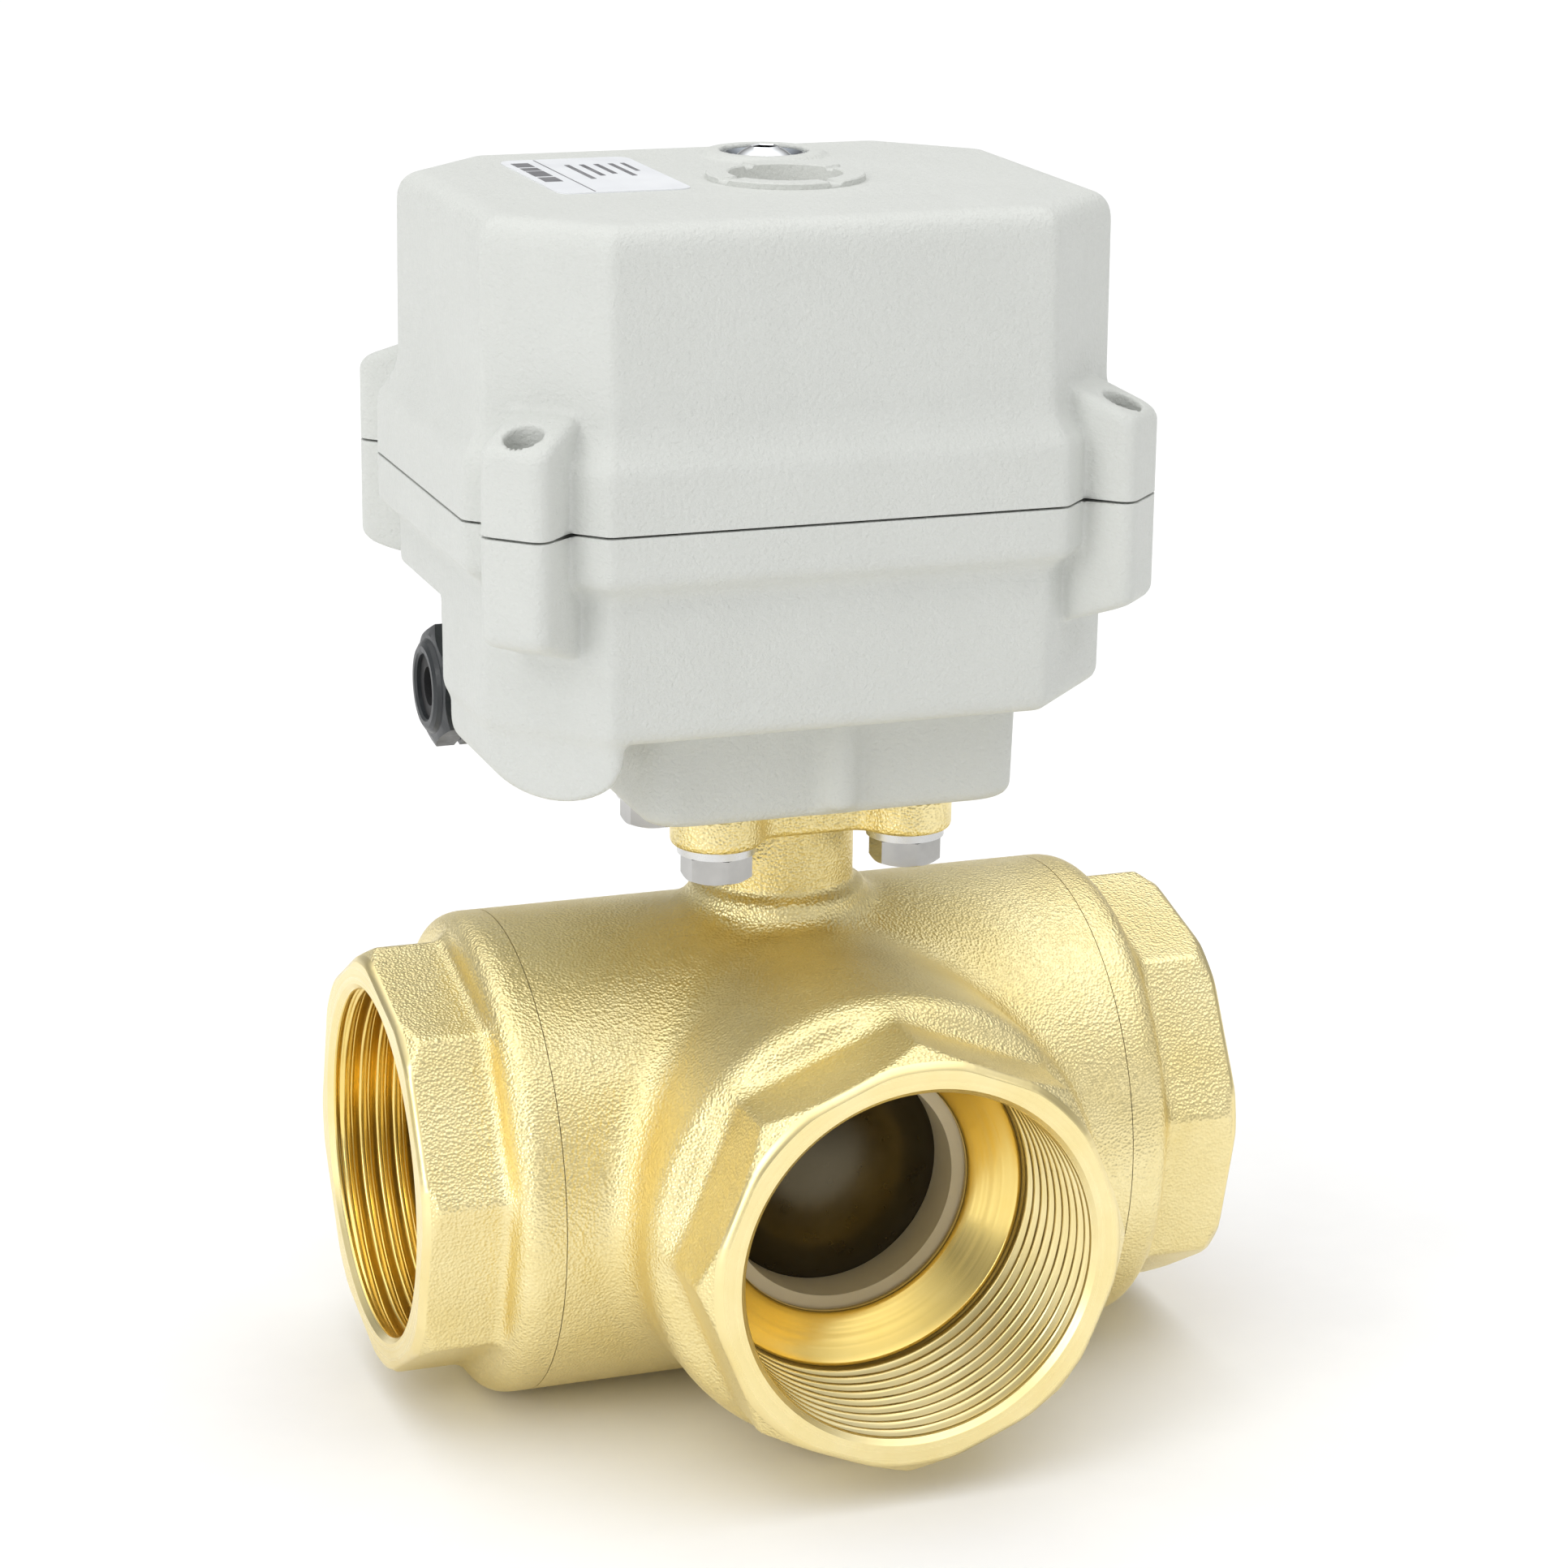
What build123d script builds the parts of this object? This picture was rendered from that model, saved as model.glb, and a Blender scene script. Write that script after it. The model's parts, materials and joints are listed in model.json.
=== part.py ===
from build123d import *
import math
import os

# Three-way ball valve with a quarter-turn electric actuator.
# Millimetres. The model is laid out about the ball centre: X along the two in-line ports,
# -Y through the branch port, +Z up the stem. On export it is shifted so that the origin is
# the centre of the branch port's mouth.

# --- valve ---------------------------------------------------------------------------------
THREAD_PITCH = 2.309
THREAD_CREST_R = 22.42
THREAD_ROOT_R = 23.85
THREAD_TURNS = 8
THREAD_HALF_V = 0.95
THREAD_HALF_FLAT = 0.12
THREAD_LAND = 4.0
MOUTH_CHAMFER = 0.45
RUNOUT_R = 21.2
BORE_R = 16.8
BORE_DEPTH = 27.4
BARREL_R = 31.2
SEAM_X = 38.0
END_FACE_X = 55.0
BRANCH_FACE_Y = 54.0
BRANCH_R = 30.0
BRANCH_SHOULDER_Y = 40.5
BRANCH_OCT_Y = 42.5
END_SHOULDER_X = 40.5
END_OCT_X = 43.5
BRANCH_OVERLAP = 1.5
END_OVERLAP = 3.0
SHOULDER_LAND = 0.1
PORT_FLATS = 52.0
END_TWIST = -8.0
FACE_BEVEL = 1.3
CAVITY_R = 25.0
SPIGOT_R = 24.95
SPIGOT_END_X = 20.5
BALL_R = 24.5
BALL_BORE_R = 15.0
BALL_CLEARANCE = 0.4
SEAT_R = 19.5
SEAT_BORE_R = 15.2
SEAT_BACK = 25.3
SEAT_GAP = 0.05
SEAT_CONE_STEP = 0.6
PAD_SEAT_R = 17.0
PAD_SEAT_BACK = 24.0
BODY_RING_R = 27.3
BODY_RING_SECTION = 0.8
STEM_R = 6.5
STEM_CLEARANCE = 0.05
STEM_COLLAR_R = 8.4
STEM_COLLAR_Z = (24.6, 26.8)
THRUST_Z = (26.85, 28.0)
THRUST_POCKET_R = 9.0
THRUST_WASHER_R = 8.9
THRUST_BORE_R = 6.6
TANG = (13.6, 6.0)
TANG_Z = 19.7
TANG_CLEARANCE = 0.1
STEM_SHOULDER_Z = 46.5
STEM_TOP_Z = 58.0
STEM_SQUARE = 9.0
STEM_RING_Z = (33.0, 37.0)
STEM_RING_SECTION = 0.72
STEM_GROOVE_R = 5.0
STEM_GROOVE_HALF = 0.95
NECK_R = 9.8
COLLAR_R = 11.2
COLLAR_TOP_Z = 33.4
PAD_Z = (43.0, 48.0)
PAD_SIDE = 28.6
PAD_LOBE_R = 5.9
PAD_EDGE = 0.6
BOLT_SPACING = 25.46
BOLT_R = 2.5
BOLT_HOLE_R = 2.75
BOLT_FLATS = 8.0
BOLT_HEAD = 3.5
BOLT_CROWN = 0.5
BOLT_LENGTH = 12.0
WASHER_R = 5.0
WASHER_BORE_R = 2.65
WASHER_T = 1.0

# --- actuator housing ----------------------------------------------------------------------
HOUSE_X = (-45.0, 36.0)
HOUSE_Y = 32.0
CORNER = 12.5
WALL = 3.0
EDGE_R = 2.5
FLANGE = 2.5
BASE_Z = 62.0
BASE_EDGE_R = 1.5
BASE_TOP_Z = 88.4
COVER_Z = 88.7
TOP_Z = 124.5
FLANGE_BASE_Z = 82.0
FLANGE_COVER_Z = 97.0
TOP_EDGE_R = 3.3
BOX_SIDE = (49.0, 44.5)
BOX_Z = 48.0
BOX_CORNER_R = 4.0
BOX_EDGE_R = 1.2
RIB_R = 2.5
POD_X = -37.7
POD_Z = 61.5
POD_R = 7.3
RECESS_X = -38.0
RECESS_TOP_Z = 74.0
EAR_W = 9.2
EAR_OUT = 8.8
EAR_IN = 2.5
EAR_TOP_Z = (102.4, 99.0)
EAR_BOTTOM_Z = (72.6, 75.6)
EAR_R = 2.0
EAR_HOLE_OUT = 5.6
EAR_HOLE_R = 2.5
SCREW_SEAT_Z = 91.5
SCREW_HEAD_R = 2.25
SCREW_HEAD = 2.5
SCREW_R = 1.25
SCREW_HOLE_R = 1.4
SCREW_KEY = 2.0
SCREW_END_Z = 79.5
GASKET_OUT = 1.7
GASKET_IN = 1.3
GASKET_Z = 87.6
BUSH_R = 11.5
BUSH_Z = (49.5, 61.5)
UPPER_BUSH_R = 7.0
UPPER_BUSH_Z = (98.2, 100.5)
FLOOR_HOLE_R = 9.4

# --- cable gland ---------------------------------------------------------------------------
GLAND_Y = 10.0
GLAND_Z = 60.0
GLAND_BOSS_R = 8.6
GLAND_FLATS = 14.0
GLAND_FLANGE_X = (-38.0, -40.5)
GLAND_NUT_X = (-40.6, -44.6)
GLAND_SHANK_R = 5.0
GLAND_SHANK_X = -33.0
GLAND_BORE_R = 3.6
GLAND_CROWN = 1.6
SEAL_R = 4.2
SEAL_BORE_R = 2.5
SEAL_END_X = -43.8
WELL = (9.0, 9.0, 8.5)
WELL_X = -29.5

# --- drive ---------------------------------------------------------------------------------
SHAFT_LOW_R = 9.0
SHAFT_LOW_Z = (49.0, 64.5)
SOCKET_SQUARE = 9.1
SOCKET_TOP_Z = 59.2
SHAFT_R = 5.0
SHAFT_Z = 114.0
SHAFT_TIP_R = 3.0
SHAFT_TIP_Z = 121.0
LOWER_PLATE_Z = (86.0, 88.0)
UPPER_PLATE_Z = (99.0, 100.5)
PLATE_INSET = 4.2
PILLAR_R = 2.5
PILLARS = [(26.0, 21.0), (26.0, -21.0), (-27.0, 21.0), (-3.0, -26.0)]
PLATE_SCREW_R = 1.4
PLATE_SCREW_HEAD_R = 2.4
PLATE_SCREW_HEAD = 1.8
SCREW_SLOT = (6.0, 0.7, 2.0)
PLATE_SCREW_REACH = 8.0
DRIVE_MODULE = 0.8
DRIVE_TEETH = 40
DRIVE_PINION_TEETH = 12
DRIVE_Z = (93.5, 97.5)
FINE_MODULE = 0.5
FINE_TEETH = 45
FINE_PINION_TEETH = 12
IDLER_ANGLE = 223.57
MOTOR_ANGLE = 177.0
OVERRIDE_ANGLE = 78.0
IDLER_PIN_R = 1.25
IDLER_HUB_R = 3.0
IDLER_PLAY = 0.3
RUNNING = 0.05
GEAR_PRESSURE_ANGLE = 20.0
GEAR_ADDENDUM = 0.75
GEAR_BACKLASH = 0.10
GEAR_HOLES = 5
GEAR_HOLE_R = 2.4
GEAR_HOLE_AT = 10.8
IDLER_WHEEL_Z = (90.0, 92.5)
IDLER_PINION_Z = (92.5, 98.3)
MOTOR_R = 11.6
MOTOR_CAN_R = 10.6
MOTOR_Z = (65.4, 75.0, 86.0)
MOTOR_SHAFT_R = 1.5
MOTOR_SHAFT_Z = (80.0, 93.6)
MOTOR_PINION_Z = (89.4, 93.0)
MOTOR_SCREW_OFFSET = 8.5
MOTOR_SCREW_R = 1.0
MOTOR_EDGE_R = 1.2
SMALL_HEAD_R = 1.9
SMALL_HEAD = 0.9
PINION_OVERHANG = 0.4
OVERRIDE_R = 3.0
OVERRIDE_Z = (84.5, 117.5, 124.3)
OVERRIDE_HEAD_R = 3.9
OVERRIDE_DOME = 1.7
OVERRIDE_KEY = 3.0
OVERRIDE_KEY_DEPTH = 3.0
BEZEL_R = 5.7
BEZEL_BORE_R = 3.95
BEZEL_Z = (118.5, 124.7)
BEZEL_CHAMFER = 0.9
OVERRIDE_RING_Z = 121.0
OVERRIDE_RING_SECTION = 0.4
RING_SLACK = 0.02
SURROUND_R = 7.8
SURROUND_HEIGHT = 0.5
CAM_Z = [(102.0, 105.5), (108.8, 112.3)]
CAM_HUB_R = 7.0
CAM_HUB_STEP = 0.8
CAM_STEPS = 120
CAM_SLOPE_ANGLES = (-105.0, 15.0)
FOLLOWER_LOW_R = 11.3
FOLLOWER_HIGH_R = 12.2
FOLLOWER_TIP_R = 0.8
FOLLOWER_GAP = 0.08
LEVER_LENGTH = 9.0
LEVER_T = 0.5
LEVER_WIDTH = 1.8
LEVER_EYE_R = 0.95
LEVER_EYE_HALF = 1.25
LEVER_PIN_R = 0.5
FOLLOWER_HALF = 1.1
LUG_T = 0.4
LUG_INNER = 1.35
SWITCH_TAB = (4.0, 2.6, 0.6)
SWITCH_TAB_Y = (-7.0, 0.0, 7.0)
SWITCH_HEAD = 1.4
SWITCH_X = (13.4, 23.6)
SWITCH_HALF_Y = 10.0
SWITCH_Z = [(100.5, 106.9), (107.1, 113.5)]
SWITCH_HOLE_X = 20.0
SWITCH_HOLE_Y = 4.75
SWITCH_SCREW_R = 1.0

# --- electronics, indicator and label ------------------------------------------------------
BOARD_X = (-38.0, -13.5)
BOARD_HALF_Y = 22.0
BOARD_Z = (106.0, 107.6)
BOARD_CORNER = 3.0
BOARD_SCREW_R = 1.1
BOARD_SCREW_HEAD = 1.3
STANDOFF_R = 2.0
STANDOFFS = [(-35.0, 17.0), (-35.0, -17.0), (-16.0, 19.5), (-16.0, -19.5)]
TERMINAL = (8.0, 27.0, 9.5)
TERMINAL_X = -32.5
TERMINAL_WAYS = 6
TERMINAL_MOUTH = (3.0, 2.8, 3.2)
TERMINAL_SILL = 1.4
TERMINAL_HOLE_R = 1.5
TERMINAL_HOLE_SHIFT = 0.6
RELAY = (10.0, 14.5, 10.0)
RELAY_AT = (-20.0, 8.0)
RELAY_EDGE_R = 0.8
CAPACITOR_R = 4.0
CAPACITOR_H = 10.5
CAPACITOR_EDGE_R = 0.5
CAPACITOR_AT = (-20.5, -9.0)
INDICATOR_R = 7.03
INDICATOR_HUB_R = 4.4
INDICATOR_SLOT = (11.06, 1.4, 2.0)
INDICATOR_SLOT_DEPTH = 0.5
INDICATOR_HOLE_R = 7.1
INDICATOR_Z = (117.5, 121.2, 123.0)
RING_R = 10.0
RING_HEIGHT = 0.8
RING_NOTCH = 1.6
NOTCH_DEPTH = 0.4
NOTCH_ANGLE = 20.0
LABEL = (17.0, 28.0)
LABEL_AT = (-22.4, 8.0)
LABEL_T = 0.15
LABEL_CORNER_R = 2.0


def save(name, shape):
    """Write one node, moved from the ball-centre frame to the branch port's mouth."""
    shape = Pos(0, BRANCH_FACE_Y, 0) * shape
    export_step(shape, f"parts/{name}.step")


def rod(radius, z0, z1, x=0.0, y=0.0):
    """Upright cylinder between two heights."""
    return Pos(x, y, (z0 + z1) / 2) * Cylinder(radius, z1 - z0)


def tube(outer, inner, z0, z1, x=0.0, y=0.0):
    """Upright ring between two heights."""
    return rod(outer, z0, z1, x, y) - rod(inner, z0 - 1, z1 + 1, x, y)


def block(size, z0, x=0.0, y=0.0):
    """Box standing on height z0."""
    return Pos(x, y, z0 + size[2] / 2) * Box(*size)


def prism(sketch, z0, z1):
    """Sketch on XY extruded between two heights."""
    return Pos(0, 0, z0) * extrude(sketch, z1 - z0)


def to_x(shape):
    """Turn a shape built along +Z so that it points along +X."""
    return Rot(0, 90, 0) * shape


def to_front(shape):
    """Turn a shape built along +Z so that it points along -Y."""
    return Rot(90, 0, 0) * shape


# --- ports ---------------------------------------------------------------------------------
def turned(points):
    """Solid of revolution about Z of a closed profile of (radius, height) points."""
    return revolve(Plane.XZ * make_face(Polyline(*points, close=True)), Axis.Z)


def thread_groove(apex):
    """One ring groove of the stand-in thread, left open by a narrow land.

    The lands join the crests into one wall, as they are on a helical thread.
    """
    points = [
        (THREAD_CREST_R - 1, apex + THREAD_HALF_V),
        (THREAD_CREST_R, apex + THREAD_HALF_V),
        (THREAD_ROOT_R, apex + THREAD_HALF_FLAT),
        (THREAD_ROOT_R, apex - THREAD_HALF_FLAT),
        (THREAD_CREST_R, apex - THREAD_HALF_V),
        (THREAD_CREST_R - 1, apex - THREAD_HALF_V),
    ]
    profile = Plane.XZ * make_face(Polyline(*points, close=True))
    return Rot(0, 0, 180 + THREAD_LAND / 2) * revolve(profile, Axis.Z, 360 - THREAD_LAND)


def port_cutter(face):
    """Female pipe thread, run-out cone and bore, cut from a face at height `face`."""
    crest_top = face - MOUTH_CHAMFER
    crest_end = crest_top - THREAD_PITCH * (THREAD_TURNS + 1)
    points = [
        (0, face + 1),
        (THREAD_CREST_R + MOUTH_CHAMFER, face + 1),
        (THREAD_CREST_R + MOUTH_CHAMFER, face),
        (THREAD_CREST_R, crest_top),
        (THREAD_CREST_R, crest_end),
        (RUNOUT_R, crest_end - 1),
        (BORE_R, face - BORE_DEPTH),
        (BORE_R, SEAT_BACK - 1),
        (0, SEAT_BACK - 1),
    ]
    cutter = turned(points)
    for turn in range(1, THREAD_TURNS + 1):
        cutter += thread_groove(crest_top - THREAD_PITCH * turn)
    return cutter


def port_octagon(z0, z1, twist):
    """Wrench octagon with its outer corners turned off at the face."""
    flats = RegularPolygon(PORT_FLATS / 2, 8, major_radius=False, rotation=twist)
    drum = rod(PORT_FLATS / 2 / math.cos(math.pi / 8), z0, z1)
    drum = chamfer(drum.edges().sort_by(Axis.Z)[-1], FACE_BEVEL)
    return prism(flats, z0, z1) & drum


def shoulder(radius, z0, z1):
    """Round shoulder running down to the wrench octagon."""
    drum = rod(radius, z0, z1)
    return fillet(drum.edges().sort_by(Axis.Z)[-1], z1 - z0 - SHOULDER_LAND)


def valve_body():
    body = to_x(rod(BARREL_R, -SEAM_X, SEAM_X))
    branch = rod(BRANCH_R, 0, BRANCH_SHOULDER_Y)
    branch += shoulder(BRANCH_R, BRANCH_SHOULDER_Y, BRANCH_OCT_Y + BRANCH_OVERLAP)
    branch += port_octagon(BRANCH_OCT_Y, BRANCH_FACE_Y, 0)
    body += to_front(branch)
    body += rod(NECK_R, 0, PAD_Z[0] + 1)
    body += rod(COLLAR_R, 0, COLLAR_TOP_Z)
    body += mounting_pad()
    body -= to_x(rod(CAVITY_R, -SEAM_X - 1, SEAM_X + 1))
    body -= to_front(rod(SEAT_R + SEAT_GAP, 0, SEAT_BACK + SEAT_GAP))
    body -= to_front(rod(PAD_SEAT_R + SEAT_GAP, -PAD_SEAT_BACK - SEAT_GAP, 0))
    body -= to_front(port_cutter(BRANCH_FACE_Y))
    body -= rod(STEM_R + STEM_CLEARANCE, 0, PAD_Z[1] + 1)
    body -= rod(THRUST_POCKET_R, 0, THRUST_Z[1])
    for side in (-1, 1):
        groove = tube(
            BODY_RING_R + BODY_RING_SECTION + SEAT_GAP,
            BODY_RING_R - BODY_RING_SECTION - SEAT_GAP,
            SEAM_X - 2 * BODY_RING_SECTION,
            SEAM_X + 1,
        )
        body -= Rot(0, 90 * side, 0) * groove
    return body


def mounting_pad():
    """Four-lobed actuator pad on top of the neck."""
    outline = Rectangle(PAD_SIDE, PAD_SIDE)
    outline += GridLocations(BOLT_SPACING, BOLT_SPACING, 2, 2) * Circle(PAD_LOBE_R)
    pad = prism(outline, *PAD_Z)
    pad = chamfer(pad.faces().sort_by(Axis.Z)[0].edges(), PAD_EDGE)
    return pad - bolt_rods(BOLT_HOLE_R, PAD_Z[0] - 1, PAD_Z[1] + 1)


def end_cap(side):
    """End connector: spigot, shoulder, wrench octagon and threaded port."""
    cap = rod(BARREL_R, SEAM_X, END_SHOULDER_X)
    cap += shoulder(BARREL_R, END_SHOULDER_X, END_OCT_X + END_OVERLAP)
    cap += port_octagon(END_OCT_X, END_FACE_X, 90 + END_TWIST * side)
    cap += rod(SPIGOT_R, SPIGOT_END_X, SEAM_X)
    cap -= rod(SEAT_R + SEAT_GAP, 0, SEAT_BACK + SEAT_GAP)
    cap -= Sphere(BALL_R + BALL_CLEARANCE)
    cap -= port_cutter(END_FACE_X)
    return Rot(0, 90 * side, 0) * cap


def ball():
    sphere = Sphere(BALL_R)
    sphere -= to_x(rod(BALL_BORE_R, -BALL_R - 1, BALL_R + 1))
    sphere -= to_front(rod(BALL_BORE_R, -BALL_R - 1, 0))
    slot = (TANG[0] + 4 * TANG_CLEARANCE, TANG[1] + TANG_CLEARANCE, BALL_R)
    return sphere - block(slot, TANG_Z - TANG_CLEARANCE)


def seat(outer, back):
    """Seat ring built along +Z, bedded on the ball, with its outer corner cut at 45 degrees."""
    points = [
        (SEAT_BORE_R, SEAT_BORE_R + SEAT_CONE_STEP), (outer, outer + SEAT_CONE_STEP),
        (outer, back), (SEAT_BORE_R, back),
    ]
    return turned(points) - Sphere(BALL_R + SEAT_GAP)


def stem():
    shaft = rod(STEM_R, STEM_COLLAR_Z[1], STEM_SHOULDER_Z)
    shaft += rod(STEM_COLLAR_R, *STEM_COLLAR_Z)
    shaft += block((*TANG, STEM_COLLAR_Z[0] - TANG_Z), TANG_Z)
    shaft += block((STEM_SQUARE, STEM_SQUARE, STEM_TOP_Z - STEM_SHOULDER_Z), STEM_SHOULDER_Z)
    for height in STEM_RING_Z:
        groove = (height - STEM_GROOVE_HALF, height + STEM_GROOVE_HALF)
        shaft -= tube(STEM_R + 1, STEM_GROOVE_R, *groove)
    return shaft


def stem_ring(height):
    middle = STEM_GROOVE_R + STEM_RING_SECTION + 0.01
    return Pos(0, 0, height) * Torus(middle, STEM_RING_SECTION)


def body_ring(side):
    ring = Pos(0, 0, SEAM_X - BODY_RING_SECTION) * Torus(BODY_RING_R, BODY_RING_SECTION)
    return Rot(0, 90 * side, 0) * ring


def bolt_places():
    return GridLocations(BOLT_SPACING, BOLT_SPACING, 2, 2)


def bolt_rods(radius, z0, z1):
    return [place * rod(radius, z0, z1) for place in bolt_places()]


def at_bolts(shape):
    return Compound(children=[place * shape for place in bolt_places()])


def hexagon(flats, z0, z1):
    """Hexagonal bar of a width across flats."""
    return prism(RegularPolygon(flats / 2, 6, major_radius=False), z0, z1)


def across_corners_r(flats):
    return flats / 2 / math.cos(math.pi / 6)


def mounting_bolt():
    under_head = PAD_Z[0] - WASHER_T
    head = (under_head - BOLT_HEAD, under_head)
    crown = rod(across_corners_r(BOLT_FLATS), *head)
    crown = chamfer(crown.edges().sort_by(Axis.Z)[0], BOLT_CROWN)
    shank = rod(BOLT_R, under_head, under_head + BOLT_LENGTH)
    return (hexagon(BOLT_FLATS, *head) & crown) + shank


# --- housing -------------------------------------------------------------------------------
def outline(grow, round_r=EDGE_R):
    """Housing plan: a rectangle with cut corners, grown or shrunk by `grow`."""
    leg = CORNER + grow * (2 - math.sqrt(2))
    x0 = HOUSE_X[0] - grow
    x1 = HOUSE_X[1] + grow
    y1 = HOUSE_Y + grow
    points = [
        (x0 + leg, -y1), (x1 - leg, -y1), (x1, -y1 + leg), (x1, y1 - leg),
        (x1 - leg, y1), (x0 + leg, y1), (x0, y1 - leg), (x0, -y1 + leg),
    ]
    face = make_face(Polyline(*points, close=True))
    return fillet(face.vertices(), round_r)


def corners():
    """Middle of each cut corner and the side it is on."""
    for side_x, wall_x in ((-1, HOUSE_X[0]), (1, HOUSE_X[1])):
        for side_y in (-1, 1):
            middle = Vector(wall_x - side_x * CORNER / 2, side_y * (HOUSE_Y - CORNER / 2))
            yield middle, side_x, side_y


def screw_points():
    reach = EAR_HOLE_OUT / math.sqrt(2)
    return [(middle.X + side_x * reach, middle.Y + side_y * reach) for middle, side_x, side_y in corners()]


def ears(seam_z, end_z):
    """Four screw ears; `end_z` is their sloping end's height at the wall and at the outer edge."""
    wall_z, outer_z = end_z
    profile = [
        (-EAR_IN, seam_z), (EAR_OUT, seam_z), (EAR_OUT, outer_z), (0, wall_z), (-EAR_IN, wall_z),
    ]
    ear = extrude(Plane.XZ * make_face(Polyline(*profile, close=True)), EAR_W / 2, both=True)
    ear = fillet(ear.edges().filter_by(Axis.Z).group_by(Axis.X)[-1], EAR_R)
    solids = []
    for middle, side_x, side_y in corners():
        turn = math.degrees(math.atan2(side_y, side_x))
        solids.append(Pos(middle.X, middle.Y, 0) * Rot(0, 0, turn) * ear)
    return solids


def recess(grow):
    """Notch in the left wall behind the cable gland, grown by `grow`."""
    depth = RECESS_X - HOUSE_X[0] + 5
    size = (depth + grow, HOUSE_Y + 5 + grow, RECESS_TOP_Z - BASE_Z + 1 + grow)
    x = HOUSE_X[0] - 5 + size[0] / 2
    y = size[1] / 2 - grow
    return block(size, BASE_Z - 1, x, y)


def pod():
    """Half-round trough under the left edge of the base."""
    trough = Pos(POD_X, -HOUSE_Y / 2, POD_Z) * Rot(90, 0, 0) * Cylinder(POD_R, HOUSE_Y)
    return trough & prism(outline(0), BASE_Z - POD_R - 2, BASE_Z + 2)


def mount_box():
    """Lower box that bolts to the valve pad, with a half-round rib at the front."""
    box = prism(RectangleRounded(*BOX_SIDE, BOX_CORNER_R), BOX_Z, BASE_Z + 1)
    box = fillet(box.faces().sort_by(Axis.Z)[0].edges(), BOX_EDGE_R)
    rib = rod(RIB_R, BOX_Z + 1, BASE_Z, 0, -BOX_SIDE[1] / 2)
    return box + rib


def gland_boss():
    """Round boss on the notch wall that carries the cable gland."""
    length = RECESS_X + BOX_SIDE[0] / 2
    boss = Cylinder(GLAND_BOSS_R, abs(length))
    return Pos(RECESS_X - length / 2, GLAND_Y, GLAND_Z) * to_x(boss)


def gasket_ring():
    """Plan of the cover gasket and its groove in the base."""
    return outline(GASKET_OUT) - outline(-GASKET_IN)


def base():
    walls = prism(outline(0), BASE_Z, BASE_TOP_Z)
    walls = fillet(walls.faces().sort_by(Axis.Z)[0].edges(), BASE_EDGE_R)
    flange = prism(outline(FLANGE), FLANGE_BASE_Z, BASE_TOP_Z)
    flange = chamfer(flange.faces().sort_by(Axis.Z)[0].edges(), FLANGE - 0.1)
    walls += flange
    walls += ears(BASE_TOP_Z, EAR_BOTTOM_Z)
    walls -= prism(outline(-WALL), BASE_Z + WALL, BASE_TOP_Z + 1) - recess(WALL)
    walls -= recess(0)
    walls += pod()
    walls += mount_box()
    walls += gland_boss()
    walls -= prism(gasket_ring(), GASKET_Z, BASE_TOP_Z + 1)
    walls -= rod(BUSH_R, BOX_Z - 1, BASE_Z)
    walls -= rod(FLOOR_HOLE_R, BASE_Z - 1, BASE_Z + WALL + 1)
    walls -= bolt_rods(BOLT_R, BOX_Z - 1, BOX_Z + BOLT_LENGTH - WASHER_T)
    walls -= block(WELL, GLAND_Z - 3, WELL_X, GLAND_Y)
    gland_hole = Cylinder(GLAND_SHANK_R, WELL_X - RECESS_X)
    walls -= Pos((WELL_X + RECESS_X) / 2, GLAND_Y, GLAND_Z) * to_x(gland_hole)
    for x, y in screw_points():
        walls -= rod(SCREW_R, SCREW_END_Z - 1, BASE_TOP_Z + 1, x, y)
    return walls


def cover():
    shell = prism(outline(0), COVER_Z, TOP_Z)
    shell = fillet(shell.faces().sort_by(Axis.Z)[-1].edges(), TOP_EDGE_R)
    flange = prism(outline(FLANGE), COVER_Z, FLANGE_COVER_Z)
    flange = chamfer(flange.faces().sort_by(Axis.Z)[-1].edges(), FLANGE - 0.1)
    shell += flange
    shell += ears(COVER_Z, EAR_TOP_Z)
    shell -= prism(outline(-WALL), COVER_Z - 1, TOP_Z - WALL)
    x, y = override_axis()
    shell += rod(RING_R, TOP_Z - WALL, TOP_Z + RING_HEIGHT)
    shell += rod(SURROUND_R, TOP_Z - WALL, TOP_Z + SURROUND_HEIGHT, x, y)
    shell += rod(SURROUND_R, BEZEL_Z[0], TOP_Z, x, y) & prism(outline(-WALL), BEZEL_Z[0], TOP_Z)
    shell -= rod(INDICATOR_HOLE_R, TOP_Z - WALL - 1, TOP_Z + 2)
    shell -= rod(BEZEL_R, BEZEL_Z[0] - 1, TOP_Z + 2, x, y)
    for turn in range(4):
        notch = block((RING_R, RING_NOTCH, 1), TOP_Z + RING_HEIGHT - NOTCH_DEPTH, RING_R - 1)
        shell -= Rot(0, 0, 90 * turn + NOTCH_ANGLE) * notch
    for x, y in screw_points():
        shell -= rod(EAR_HOLE_R, SCREW_SEAT_Z, EAR_TOP_Z[0] + 1, x, y)
        shell -= rod(SCREW_HOLE_R, COVER_Z - 1, SCREW_SEAT_Z + 1, x, y)
    return shell


def cover_gasket():
    """Flat seal in the base groove, standing slightly proud so the halves do not touch."""
    seal = prism(gasket_ring(), GASKET_Z, COVER_Z)
    for x, y in screw_points():
        seal -= rod(SCREW_HOLE_R, GASKET_Z - 1, COVER_Z + 1, x, y)
    return seal


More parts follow.
